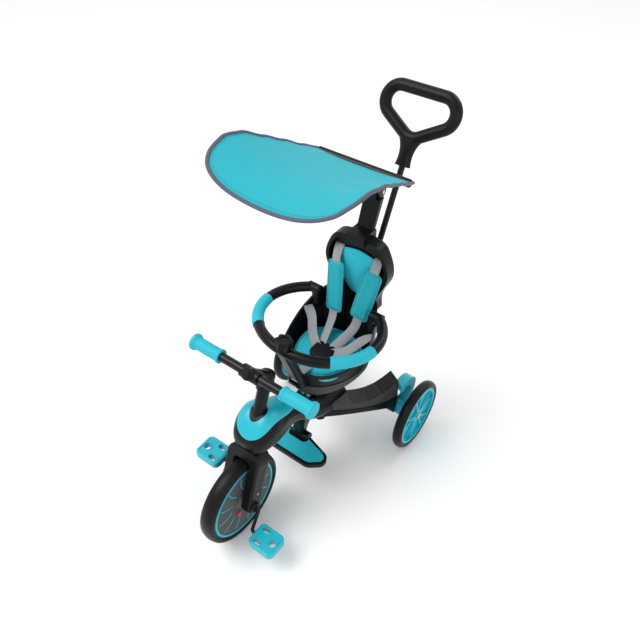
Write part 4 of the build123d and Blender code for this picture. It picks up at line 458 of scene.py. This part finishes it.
def apply_tree(piece, tree, values):
    """Runs a geometry node tree on a piece with named input values, and bakes it."""
    modifier = piece.modifiers.new("made", "NODES")
    modifier.node_group = tree
    for item in tree.interface.items_tree:
        if item.in_out == "INPUT" and item.name in values:
            modifier[item.identifier] = values[item.name]
    return baked(piece)


def poly_curve(name, points, closed=False):
    """Curve object through points, with straight runs."""
    curve = bpy.data.curves.new(name, "CURVE")
    curve.dimensions = "3D"
    spline = curve.splines.new("POLY")
    spline.points.add(len(points) - 1)
    for point, place_at in zip(spline.points, points):
        point.co = (*place_at, 1)
    spline.use_cyclic_u = closed
    piece = bpy.data.objects.new(name, curve)
    scene.collection.objects.link(piece)
    return piece


def thread_run(name, lines, body, pitch=0.0042, length=0.0014, radius=0.0005, closed=True):
    """Row of stitches along each line, as one piece."""
    done = []
    for index, line in enumerate(lines):
        run = poly_curve(f"{name}_{index}", line, closed)
        values = {"Pitch": pitch, "Length": length, "Radius": radius, "Thread": THREAD}
        done.append(apply_tree(run, STITCHES, values))
    mesh = bmesh.new()
    for piece in done:
        mesh.from_mesh(piece.data)
        bpy.data.objects.remove(piece)
    data = bpy.data.meshes.new(name)
    mesh.to_mesh(data)
    mesh.free()
    piece = linked(name, data, THREAD)
    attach(piece, body)
    return piece


def table_value(table, y, column):
    """Value of a column at y in a table of stations that run from rear to front."""
    for before, after in zip(table, table[1:]):
        if before[0] >= y >= after[0]:
            share = (before[0] - y) / (before[0] - after[0])
            share = share * share * (3 - 2 * share) * 0.35 + share * 0.65
            return before[column] + (after[column] - before[column]) * share
    return table[0][column] if y > table[0][0] else table[-1][column]


# Canopy: stations as (y, half width, height of the edge, height of the middle line)
CANOPY = [
    (0.172, 0.1265, 0.8255, 0.8215),
    (0.127, 0.137, 0.848, 0.839),
    (0.077, 0.149, 0.877, 0.858),
    (0.027, 0.161, 0.904, 0.877),
    (-0.023, 0.172, 0.931, 0.894),
    (-0.073, 0.173, 0.943, 0.906),
    (-0.123, 0.164, 0.935, 0.908),
    (-0.150, 0.150, 0.924, 0.903),
    (-0.176, 0.128, 0.911, 0.890),
]
CANOPY_EDGE = [
    (0.1265, 0.172),
    (0.137, 0.127),
    (0.149, 0.077),
    (0.161, 0.027),
    (0.172, -0.023),
    (0.173, -0.073),
    (0.164, -0.123),
    (0.140, -0.154),
    (0.090, -0.168),
    (0.0, -0.170),
]
CANOPY_RINGS = 26
CANOPY_STITCH_INSET = 0.0085


def canopy_height(x, y):
    """Height of the cloth: a shallow trough along the middle, with a slight slack ripple near the edge."""
    half = table_value(CANOPY, y, 1)
    edge = table_value(CANOPY, y, 2)
    middle = table_value(CANOPY, y, 3)
    share = min(abs(x) / half, 1.05)
    slack = 0.0011 * math.sin(34 * y + 9 * x) * share**2 * max(0.0, 1 - share) * 4
    return middle + (edge - middle) * share**2 + slack


def make_canopy():
    """Cloth stretched in its edge, with bound edge and stitches."""
    left = catmull([Vector((x, y, 0)) for x, y in CANOPY_EDGE], 8)
    right = [Vector((-p.x, p.y, 0)) for p in reversed(left[:-1])]
    rear = [Vector((x * left[0].x, left[0].y, 0)) for x in (-0.75, -0.5, -0.25, 0, 0.25, 0.5, 0.75)]
    edge = left + right + rear
    middle = Vector((0, 0, 0))
    rows = []
    flat = []
    for ring in range(CANOPY_RINGS + 1):
        share = 1 - ring / (CANOPY_RINGS + 0.35)
        spread = []
        for point in edge:
            spot = middle + (point - middle) * share
            spread.append(Vector((spot.x, spot.y, canopy_height(spot.x, spot.y))))
        rows.append(spread)
        flat.append([(p.x, p.y) for p in spread])
    mesh = grid_mesh("canopy_cloth", rows, closed_columns=True, uv=flat)
    work = bmesh.new()
    work.from_mesh(mesh)
    work.verts.ensure_lookup_table()
    work.faces.new(work.verts[-len(edge) :])
    bmesh.ops.recalc_face_normals(work, faces=work.faces)
    if sum(f.normal.z for f in work.faces) < 0:
        bmesh.ops.reverse_faces(work, faces=work.faces)
    layer = work.loops.layers.uv.active
    for face in work.faces:
        for loop in face.loops:
            loop[layer].uv = (loop.vert.co.x, loop.vert.co.y)
    work.to_mesh(mesh)
    work.free()
    smooth(mesh)
    piece = linked("canopy_cloth", mesh, FINISH["teal_fabric"])
    thick = piece.modifiers.new("thickness", "SOLIDIFY")
    thick.thickness = SHEET_T
    thick.offset = -1
    piece = baked(piece)
    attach(piece, "canopy")
    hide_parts("canopy_sheet")

    line = [Vector((p.x, p.y, canopy_height(p.x, p.y) - SHEET_T / 2)) for p in left + right]
    tape = tube("canopy_binding", line, PIPING_R, PIPING_R * 0.8, FINISH["piping"])
    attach(tape, "canopy")
    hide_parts("canopy_piping")
    inner = []
    for point in left + right:
        spot = middle + (point - middle) * (1 - CANOPY_STITCH_INSET / (point - middle).length)
        inner.append(Vector((spot.x, spot.y, canopy_height(spot.x, spot.y) + 0.0002)))
    thread = thread_run("canopy_stitches", [inner], "canopy", closed=False)


def tube(name, line, wide, deep, material, sides=14):
    """Closed tube along a line, wide across and deep up and down."""
    rows = []
    for index, point in enumerate(line):
        along = (line[min(index + 1, len(line) - 1)] - line[max(index - 1, 0)]).normalized()
        across = along.cross(Vector((0, 0, 1))).normalized()
        up = across.cross(along).normalized()
        row = []
        for side in range(sides):
            angle = math.tau * side / sides
            row.append(point + across * (wide * math.cos(angle)) + up * (deep * math.sin(angle)))
        rows.append(row)
    mesh = grid_mesh(name, rows, closed_columns=True)
    work = bmesh.new()
    work.from_mesh(mesh)
    work.verts.ensure_lookup_table()
    work.faces.new([work.verts[i] for i in range(sides)])
    last = (len(rows) - 1) * sides
    work.faces.new([work.verts[last + i] for i in range(sides)])
    bmesh.ops.recalc_face_normals(work, faces=work.faces)
    work.to_mesh(mesh)
    work.free()
    smooth(mesh)
    return linked(name, mesh, material)


def strap(name, route, facings, width=STRAP_W, thick=STRAP_T):
    """Webbing along a route, its face turned smoothly from one facing to the next; returns mesh data."""
    line = catmull([Vector(p) for p in route], 10)
    turned = catmull([Vector(f) for f in facings], 10)
    profile = [
        (-0.5, -0.3), (-0.47, -0.5), (0.47, -0.5), (0.5, -0.3),
        (0.5, 0.3), (0.47, 0.5), (-0.47, 0.5), (-0.5, 0.3),
    ]
    rows = []
    flat = []
    run = 0.0
    for index, point in enumerate(line):
        after = line[min(index + 1, len(line) - 1)]
        before = line[max(index - 1, 0)]
        along = (after - before).normalized()
        across = along.cross(turned[index]).normalized()
        face = across.cross(along).normalized()
        run += (point - before).length if index else 0.0
        rows.append([point + across * (u * width) + face * (v * thick) for u, v in profile])
        flat.append([(u * width, run) for u, v in profile])
    mesh = grid_mesh(name, rows, closed_columns=True, uv=flat)
    work = bmesh.new()
    work.from_mesh(mesh)
    work.verts.ensure_lookup_table()
    count = len(profile)
    work.faces.new([work.verts[i] for i in range(count)])
    last = (len(rows) - 1) * count
    work.faces.new([work.verts[last + i] for i in range(count)])
    bmesh.ops.recalc_face_normals(work, faces=work.faces)
    work.to_mesh(mesh)
    work.free()
    return mesh, run


def mirrored(mesh):
    """Mesh with its mirror image across the middle plane added."""
    work = bmesh.new()
    work.from_mesh(mesh)
    copy = bmesh.ops.duplicate(work, geom=work.verts[:] + work.edges[:] + work.faces[:])
    verts = [v for v in copy["geom"] if isinstance(v, bmesh.types.BMVert)]
    faces = [f for f in copy["geom"] if isinstance(f, bmesh.types.BMFace)]
    for vert in verts:
        vert.co.x = -vert.co.x
    bmesh.ops.reverse_faces(work, faces=faces)
    work.to_mesh(mesh)
    work.free()
    return mesh


# Harness routes, the left side of each pair
SHOULDER_ROUTE = [
    (0.0570, 0.1900, 0.5800),
    (0.0570, 0.1730, 0.5795),
    (0.0560, 0.1580, 0.5520),
    (0.0510, 0.1510, 0.5300),
    (0.0430, 0.1340, 0.4520),
    (0.0380, 0.1240, 0.4150),
    (0.0330, 0.1070, 0.3850),
    (0.0170, 0.0440, 0.3570),
]
SLOT_FACE = (0, -0.2, 1)
SHOULDER_FACE = (0.12, -0.9, 0.45)
WAIST_ROUTE = [
    (0.1005, 0.0950, 0.4100),
    (0.0780, 0.0820, 0.3910),
    (0.0540, 0.0540, 0.3660),
    (0.0220, 0.0280, 0.3560),
]
RIM_FACE = (-0.9, -0.3, 0.4)
WAIST_FACE = (0, -0.55, 0.85)


def make_harness():
    """Shoulder and waist webbing."""
    for name, route, faces in (
        ("shoulder_straps", SHOULDER_ROUTE, [SLOT_FACE] * 2 + [SHOULDER_FACE] * 6),
        ("waist_straps", WAIST_ROUTE, [RIM_FACE] + [WAIST_FACE] * 3),
    ):
        mesh, length = strap(f"{name}_webbing", route, faces)
        piece = linked(f"{name}_webbing", mirrored(mesh), FINISH["webbing"])
        smooth(piece.data)
        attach(piece, "frame")
        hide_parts(name)


CROTCH_ROUTE = [
    (0, -0.0032, 0.3535),
    (0, -0.030, 0.3515),
    (0, -0.058, 0.358),
    (0, -0.086, 0.360),
    (0, -0.091, 0.346),
]


def make_crotch_strap():
    """Webbing from the buckle out through the front of the seat."""
    mesh, length = strap("crotch_webbing", CROTCH_ROUTE, [(0, 0, 1)] * 3 + [(0, -0.5, 1), (0, -1, 0.2)])
    piece = linked("crotch_webbing", mesh, FINISH["webbing"])
    smooth(mesh)
    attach(piece, "frame")
    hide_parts("crotch_strap")


def swollen(piece, pressure, cap):
    """Cover blown up from inside, each point moved no further than cap."""
    start = [v.co.copy() for v in piece.data.vertices]
    cover = piece.modifiers.new("cover", "CLOTH")
    cover.settings.use_pressure = True
    cover.settings.uniform_pressure_force = pressure
    cover.settings.effector_weights.gravity = 0
    for step in range(1, 21):
        scene.frame_set(step)
    depsgraph = bpy.context.evaluated_depsgraph_get()
    blown = bpy.data.meshes.new_from_object(piece.evaluated_get(depsgraph))
    moved = [v.co.copy() for v in blown.vertices]
    piece.modifiers.remove(cover)
    scene.frame_set(1)
    for vert, first, last in zip(piece.data.vertices, start, moved):
        shift = last - first
        if shift.length > cap:
            shift = shift.normalized() * cap
        vert.co = first + shift
    return piece


def cushion(node, name, material, voxel, pressure, cap):
    """Foam pad in a sewn cover, from the solid that holds its place."""
    mesh = bpy.data.meshes.new(name)
    work = bmesh.new()
    work.from_mesh(nodes[node].data)
    bmesh.ops.remove_doubles(work, verts=work.verts, dist=1e-5)
    work.to_mesh(mesh)
    work.free()
    piece = linked(name, mesh, material)
    skin = piece.modifiers.new("skin", "REMESH")
    skin.mode = "VOXEL"
    skin.voxel_size = voxel
    piece = baked(piece)
    swollen(piece, pressure, cap)
    relax = piece.modifiers.new("relax", "SMOOTH")
    relax.iterations = 4
    fine = piece.modifiers.new("fine", "SUBSURF")
    fine.levels = 1
    fine.render_levels = 1
    piece = baked(piece)
    smooth(piece.data)
    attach(piece, "frame")
    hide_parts(node)
    return piece


def dropped(piece, line, way, lift=0.0003):
    """Points of a line moved along a way until they lie on a piece."""
    tree = BVHTree.FromPolygons(
        [v.co for v in piece.data.vertices], [tuple(f.vertices) for f in piece.data.polygons]
    )
    way = Vector(way)
    spots = []
    for point in line:
        hit = tree.ray_cast(Vector(point) - way * 0.06, way)
        if hit[0] is not None:
            spots.append(hit[0] - way * lift)
    return spots


def egg_line(half, wide, front, rear, inset, count=120):
    """Egg-shaped line in plan, drawn in by an inset."""
    line = []
    for index in range(count):
        angle = math.tau * index / count
        reach = rear - wide if math.sin(angle) > 0 else wide - front
        line.append(((half - inset) * math.cos(angle), wide + (reach - inset) * math.sin(angle)))
    return line


SEAT_PAD = (0.086, 0.062, -0.050, 0.126)
SEAT_PAD_SEAM = 0.3418
SEAT_WELT_R = 0.0017
SEAT_STITCH_INSET = 0.018
BACK_PAD_OUTLINE = [
    (0.0, 0.586), (0.028, 0.5815), (0.050, 0.572), (0.0525, 0.552), (0.052, 0.526),
    (0.045, 0.493), (0.034, 0.471), (0.018, 0.4545), (0.0, 0.449),
]
BACK_PAD_SEAM = 0.17375
BACK_PAD_MIDDLE = 0.525
BACK_WELT_R = 0.0015
BACK_STITCH_INSET = 0.011


def make_pads():
    """Seat pad and back pad with welted seams and a row of stitches inside them."""
    seat = cushion("seat_pad", "seat_cushion", PAD_CLOTH, 0.0042, 2.0, 0.0022)
    rim = [Vector((x, y, SEAT_PAD_SEAM)) for x, y in egg_line(*SEAT_PAD, 0.0006)]
    welt = tube("seat_welt", rim + rim[:1], SEAT_WELT_R, SEAT_WELT_R, PAD_CLOTH, sides=8)
    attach(welt, "frame")
    row = [Vector((x, y, 0.35)) for x, y in egg_line(*SEAT_PAD, SEAT_STITCH_INSET, 160)]
    thread_run("seat_stitches", [dropped(seat, row, (0, 0, -1))], "frame")

    back = cushion("back_pad", "back_cushion", BACK_CLOTH, 0.0034, 2.0, 0.0018)
    right = catmull([Vector((x, BACK_PAD_SEAM, z)) for x, z in BACK_PAD_OUTLINE], 8)
    left = [Vector((-p.x, p.y, p.z)) for p in reversed(right[1:-1])]
    rim = right + left
    welt = tube("back_welt", rim + rim[:1], BACK_WELT_R, BACK_WELT_R, BACK_CLOTH, sides=8)
    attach(welt, "frame")
    middle = Vector((0, BACK_PAD_SEAM, BACK_PAD_MIDDLE))
    row = [middle + (p - middle) * (1 - BACK_STITCH_INSET / (p - middle).length) for p in rim]
    thread_run("back_stitches", [dropped(back, row, (0, 1, 0))], "frame")


PAD_TOP = Vector((0.056, 0.158, 0.552))
PAD_FOOT = Vector((0.038, 0.124, 0.415))
PAD_W = 0.052
PAD_T = 0.0115
PAD_SEAM = 0.0048
PAD_CORNER = 0.012
PAD_SLIP = 0.010
PAD_EDGE = 0.0011
PAD_RISE = 0.008
PAD_BORDER = 0.52
SEAM_DEPTH = 0.0013
SEAM_W = 0.0015


def pad_height(depth):
    """Half thickness of a sewn pad at a depth in from its edge: border, groove at the seam, then crown."""
    edge = 1 - math.exp(-depth / PAD_EDGE)
    rise = min(max((depth - PAD_SEAM) / PAD_RISE, 0.0), 1.0)
    crown = PAD_BORDER + (1 - PAD_BORDER) * rise * rise * (3 - 2 * rise)
    groove = SEAM_DEPTH * math.exp(-(((depth - PAD_SEAM) / SEAM_W) ** 2))
    return PAD_T / 2 * edge * crown - groove * edge


def pad_spot(u, v, side, axes, size):
    """Point of a pad's face: u across and v along from -1 to 1, side 1 for the face and -1 for the back."""
    middle, across, along, out = axes
    width, length = size
    y = v * length / 2
    into = min(length / 2 - abs(y), PAD_CORNER)
    half = width / 2 - PAD_CORNER + math.sqrt(PAD_CORNER**2 - (PAD_CORNER - into) ** 2)
    x = u * half
    depth = min(half * (1 - abs(u)), length / 2 * (1 - abs(v)))
    return middle + across * x + along * y + out * (side * pad_height(depth))


def spread(step, count):
    """Steps from -1 to 1, closer together at both ends."""
    return math.sin(math.pi * (step / count - 0.5)) * 0.55 + (2 * step / count - 1) * 0.45


def make_shoulder_pads():
    """Padded sleeves on the shoulder straps, sewn all round; the right one has slipped down its strap."""
    along = (PAD_FOOT - PAD_TOP).normalized()
    across = along.cross(Vector(SHOULDER_FACE)).normalized()
    out = across.cross(along).normalized()
    if out.y > 0:
        out = -out
    axes = ((PAD_TOP + PAD_FOOT) / 2, across, along, out)
    size = (PAD_W, (PAD_FOOT - PAD_TOP).length)
    steps_u, steps_v = 46, 120
    work = bmesh.new()
    cut = work.loops.layers.uv.new("cut")
    for side in (1, -1):
        rows = []
        for i in range(steps_v + 1):
            v = spread(i, steps_v)
            spots = [pad_spot(spread(j, steps_u), v, side, axes, size) for j in range(steps_u + 1)]
            rows.append([work.verts.new(spot) for spot in spots])
        for i in range(steps_v):
            for j in range(steps_u):
                face = work.faces.new((rows[i][j], rows[i][j + 1], rows[i + 1][j + 1], rows[i + 1][j]))
                for loop, (a, b) in zip(face.loops, ((i, j), (i, j + 1), (i + 1, j + 1), (i + 1, j))):
                    loop[cut].uv = (spread(b, steps_u) * size[0] / 2, spread(a, steps_v) * size[1] / 2)
    bmesh.ops.remove_doubles(work, verts=work.verts, dist=2e-5)
    bmesh.ops.recalc_face_normals(work, faces=work.faces)
    mesh = bpy.data.meshes.new("shoulder_sleeves")
    work.to_mesh(mesh)
    work.free()
    slip = Vector((-along.x, along.y, along.z)) * PAD_SLIP
    piece = linked("shoulder_sleeves", mirrored(mesh), FINISH["teal_fabric"])
    for vertex in piece.data.vertices:
        if vertex.co.x < 0:
            vertex.co += slip
    smooth(piece.data)
    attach(piece, "frame")
    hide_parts("shoulder_pads")
    reach_u = 1 - PAD_SEAM / (size[0] / 2)
    reach_v = 1 - PAD_SEAM / (size[1] / 2)
    ring = []
    for a, b, count in (
        ((-1, -1), (1, -1), 12),
        ((1, -1), (1, 1), 40),
        ((1, 1), (-1, 1), 12),
        ((-1, 1), (-1, -1), 40),
    ):
        for k in range(count):
            t = k / count
            u = (a[0] + (b[0] - a[0]) * t) * reach_u
            v = (a[1] + (b[1] - a[1]) * t) * reach_v
            ring.append(pad_spot(u, v, 1, axes, size) + out * 0.0003)
    thread_run("sleeve_stitches", [ring, [Vector((-p.x, p.y, p.z)) + slip for p in ring]], "frame")


LEG_RIBS = 9
LEG_RIB_START = 0.0585
LEG_RIB_PITCH = 0.009
LEG_RIB_W = 0.0019
LEG_RIB_H = 0.0013
LEG_RIB_DROP = 0.26
LEG_RIB_STEP = 0.001
LEG_RIB_REACH = 40
LEG_RIB_WRAP = 0.004


def make_leg_ribs():
    """Low cross ribs on the tops of the legs, in front of the deep ones at their ends."""
    top = nodes["leg_treads"]
    way = Vector((*LEG_WAY, 0))
    across = Vector((LEG_WAY[1], -LEG_WAY[0], 0))
    whole = bmesh.new()
    for index in range(LEG_RIBS):
        middle = Vector((*LEG_END, LEG_RIB_DROP)) - way * (LEG_RIB_START + LEG_RIB_PITCH * index)
        row = [middle + across * (LEG_RIB_STEP * step) for step in range(-LEG_RIB_REACH, LEG_RIB_REACH + 1)]
        spots = dropped(top, row, (0, 0, -1), lift=0.0)
        crest = max(spot.z for spot in spots)
        line = [spot for spot in spots if spot.z > crest - LEG_RIB_WRAP]
        rib = tube("leg_rib", line[1:-1], LEG_RIB_W, LEG_RIB_H, FINISH["grey_plastic"], sides=10)
        whole.from_mesh(rib.data)
        bpy.data.objects.remove(rib)
    mesh = bpy.data.meshes.new("leg_ribs")
    whole.to_mesh(mesh)
    whole.free()
    piece = linked("leg_ribs", mirrored(mesh), FINISH["grey_plastic"])
    smooth(mesh)
    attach(piece, "frame")


RIM_W = 0.0017
RIM_H = 0.0014
RIM_INSET = 0.0055
RIM_CORNER = 0.009
PEDAL_HOLE = 0.010
PEDAL_SLOT = (0.012, 0.0055)
PEDAL_SLOT_X = 0.022
PEDAL_EDGE = 0.008


def rounded_line(middle, half_x, half_y, radius, count=8):
    """Closed flat line round a rectangle with rounded corners."""
    line = []
    for turn, (x, y) in enumerate(((1, 1), (-1, 1), (-1, -1), (1, -1))):
        corner = middle + Vector((x * (half_x - radius), y * (half_y - radius), 0))
        for step in range(count + 1):
            angle = math.pi / 2 * (turn + step / count)
            line.append(corner + Vector((math.cos(angle), math.sin(angle), 0)) * radius)
    return line + line[:1]


def make_pedal_rims():
    """Raised rims round the plate and the openings of each pedal, on both faces."""
    for side, node in ((1, "pedal_left"), (-1, "pedal_right")):
        points = [vertex.co for vertex in nodes[node].data.vertices]
        low = Vector([min(point[axis] for point in points) for axis in range(3)])
        high = Vector([max(point[axis] for point in points) for axis in range(3)])
        half = (high - low) / 2
        whole = bmesh.new()
        for z in (low.z, high.z):
            centre = Vector(((low.x + high.x) / 2, (low.y + high.y) / 2, z))
            hole = centre + Vector((side * (half.x - PEDAL_EDGE - PEDAL_HOLE), 0, 0))
            lines = [
                rounded_line(centre, half.x - RIM_INSET, half.y - RIM_INSET, RIM_CORNER),
                rounded_line(hole, PEDAL_HOLE + RIM_W, PEDAL_HOLE + RIM_W, PEDAL_HOLE + RIM_W, 12),
            ]
            long, wide = PEDAL_SLOT[0] + RIM_W, PEDAL_SLOT[1] + RIM_W
            for way in (-1, 1):
                slot_y = way * (half.y - PEDAL_EDGE - PEDAL_SLOT[1])
                slot = centre + Vector((side * (PEDAL_SLOT_X - half.x), slot_y, 0))
                lines.append(rounded_line(slot, long, wide, wide))
            for line in lines:
                loop = tube("pedal_rim", line, RIM_W, RIM_H, FINISH["teal_plastic"], sides=10)
                whole.from_mesh(loop.data)
                bpy.data.objects.remove(loop)
        mesh = bpy.data.meshes.new(f"{node}_rims")
        whole.to_mesh(mesh)
        whole.free()
        piece = linked(f"{node}_rims", mesh, FINISH["teal_plastic"])
        smooth(mesh)
        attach(piece, node)


def stud_tree():
    """Geometry nodes: a low round stud on each point of a mesh."""
    tree = bpy.data.node_groups.new("mat_studs", "GeometryNodeTree")
    new = tree.interface.new_socket
    new(name="Geometry", in_out="INPUT", socket_type="NodeSocketGeometry")
    new(name="Radius", in_out="INPUT", socket_type="NodeSocketFloat")
    new(name="Rubber", in_out="INPUT", socket_type="NodeSocketMaterial")
    new(name="Geometry", in_out="OUTPUT", socket_type="NodeSocketGeometry")
    given = tree.nodes.new("NodeGroupInput")
    result = tree.nodes.new("NodeGroupOutput")
    stud = place(tree, "GeometryNodeMeshUVSphere", Segments=16, Rings=8, Radius=1.0)
    flat = place(tree, "ShaderNodeCombineXYZ")
    laid = place(tree, "GeometryNodeInstanceOnPoints")
    real = place(tree, "GeometryNodeRealizeInstances")
    soft = place(tree, "GeometryNodeSetShadeSmooth")
    paint = place(tree, "GeometryNodeSetMaterial")
    link = tree.links.new
    link(given.outputs["Radius"], flat.inputs[0])
    link(given.outputs["Radius"], flat.inputs[1])
    link(math_node(tree, "MULTIPLY", given.outputs["Radius"], STUD_FLATNESS), flat.inputs[2])
    link(given.outputs["Geometry"], laid.inputs["Points"])
    link(stud.outputs["Mesh"], laid.inputs["Instance"])
    link(flat.outputs[0], laid.inputs["Scale"])
    link(laid.outputs[0], real.inputs[0])
    link(real.outputs[0], soft.inputs[0])
    link(soft.outputs[0], paint.inputs["Geometry"])
    link(given.outputs["Rubber"], paint.inputs["Material"])
    link(paint.outputs[0], result.inputs[0])
    return tree


def make_studs():
    """Grip studs in two patches on the footrest mat."""
    spots = []
    for row in range(STUD_ROWS):
        shift = STUD_PITCH[0] / 2 if row % 2 else 0
        for column in range(STUD_COLUMNS):
            x = STUD_START[0] + STUD_PITCH[0] * column + shift
            y = STUD_START[1] + STUD_PITCH[1] * row
            spots += [(x, y, MAT_TOP), (-x, y, MAT_TOP)]
    mesh = bpy.data.meshes.new("mat_studs")
    mesh.from_pydata(spots, [], [])
    values = {"Radius": STUD_R, "Rubber": FINISH["teal_rubber"]}
    piece = apply_tree(linked("mat_studs", mesh), stud_tree(), values)
    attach(piece, "footrest")


make_canopy()
make_harness()
make_crotch_strap()
make_pads()
make_shoulder_pads()
make_studs()
make_leg_ribs()
make_pedal_rims()

FLOOR_HALF = 6.0
LIGHT_AIM = Vector((0, 0, 0.4))
SUN_WAY = Vector((0.45, 0.35, -1))
SENSOR_W = 36.0
FOCAL = 36.81
CAMERA_SPOT = (0.68652, -0.90957, 1.56612)
CAMERA_RIGHT = Vector((0.8022, 0.5970, 0))
CAMERA_UP = Vector((-0.4110, 0.5523, 0.7252))


def studio():
    """Pale floor, soft light and the camera at the photograph's place."""
    mesh = bpy.data.meshes.new("floor")
    corners = [(x * FLOOR_HALF, y * FLOOR_HALF, 0) for x, y in ((-1, -1), (1, -1), (1, 1), (-1, 1))]
    mesh.from_pydata(corners, [], [(0, 1, 2, 3)])
    floor = linked("floor", mesh)
    material, tree, shader = start_material("floor_paper")
    paper = place(tree, "ShaderNodeTexNoise", Scale=3.0, Detail=2.0)
    shade = place(tree, "ShaderNodeMapRange", To_Min=0.93, To_Max=0.96)
    tree.links.new(paper.outputs[0], shade.inputs["Value"])
    tree.links.new(shade.outputs[0], shader.inputs["Base Color"])
    shader.inputs["Roughness"].default_value = 0.6
    mesh.materials.append(material)

    world = bpy.data.worlds.new("studio")
    scene.world = world
    world.use_nodes = True
    tree = world.node_tree
    soft = tree.nodes["Background"]
    soft.inputs["Color"].default_value = (1, 1, 1, 1)
    soft.inputs["Strength"].default_value = 0.72
    seen = place(tree, "ShaderNodeBackground", Strength=1.0)
    seen.inputs["Color"].default_value = (1, 1, 1, 1)
    rays = place(tree, "ShaderNodeLightPath")
    mix = place(tree, "ShaderNodeMixShader")
    direct = math_node(tree, "ADD", rays.outputs["Is Camera Ray"], rays.outputs["Is Glossy Ray"])
    direct = math_node(tree, "ADD", direct, rays.outputs["Is Transmission Ray"])
    tree.links.new(math_node(tree, "MINIMUM", direct, 1.0), mix.inputs[0])
    tree.links.new(soft.outputs[0], mix.inputs[1])
    tree.links.new(seen.outputs[0], mix.inputs[2])
    tree.links.new(mix.outputs[0], tree.nodes["World Output"].inputs["Surface"])

    for name, spot, power, width in (
        ("key", (-1.4, -1.5, 2.9), 30, 1.6),
        ("fill", (2.4, -1.2, 1.8), 10, 1.6),
        ("back", (0.6, 2.4, 2.2), 14, 1.4),
    ):
        lamp = bpy.data.lights.new(name, "AREA")
        lamp.energy = power
        lamp.size = width
        lamp_piece = bpy.data.objects.new(name, lamp)
        scene.collection.objects.link(lamp_piece)
        lamp_piece.location = spot
        aim = LIGHT_AIM - Vector(spot)
        lamp_piece.rotation_euler = aim.to_track_quat("-Z", "Y").to_euler()

    sun = bpy.data.lights.new("day", "SUN")
    sun.energy = 0.95
    sun.angle = math.radians(40)
    sun_piece = bpy.data.objects.new("day", sun)
    scene.collection.objects.link(sun_piece)
    sun_piece.rotation_euler = SUN_WAY.to_track_quat("-Z", "Y").to_euler()

    lens = bpy.data.cameras.new("camera")
    lens.sensor_width = SENSOR_W
    lens.lens = FOCAL
    lens.clip_end = 50
    camera = bpy.data.objects.new("camera", lens)
    scene.collection.objects.link(camera)
    back = CAMERA_RIGHT.cross(CAMERA_UP).normalized()
    turn = Matrix((CAMERA_RIGHT, CAMERA_UP, back)).transposed().to_4x4()
    camera.matrix_world = Matrix.Translation(CAMERA_SPOT) @ turn
    scene.camera = camera
    scene.view_settings.view_transform = "Standard"


studio()
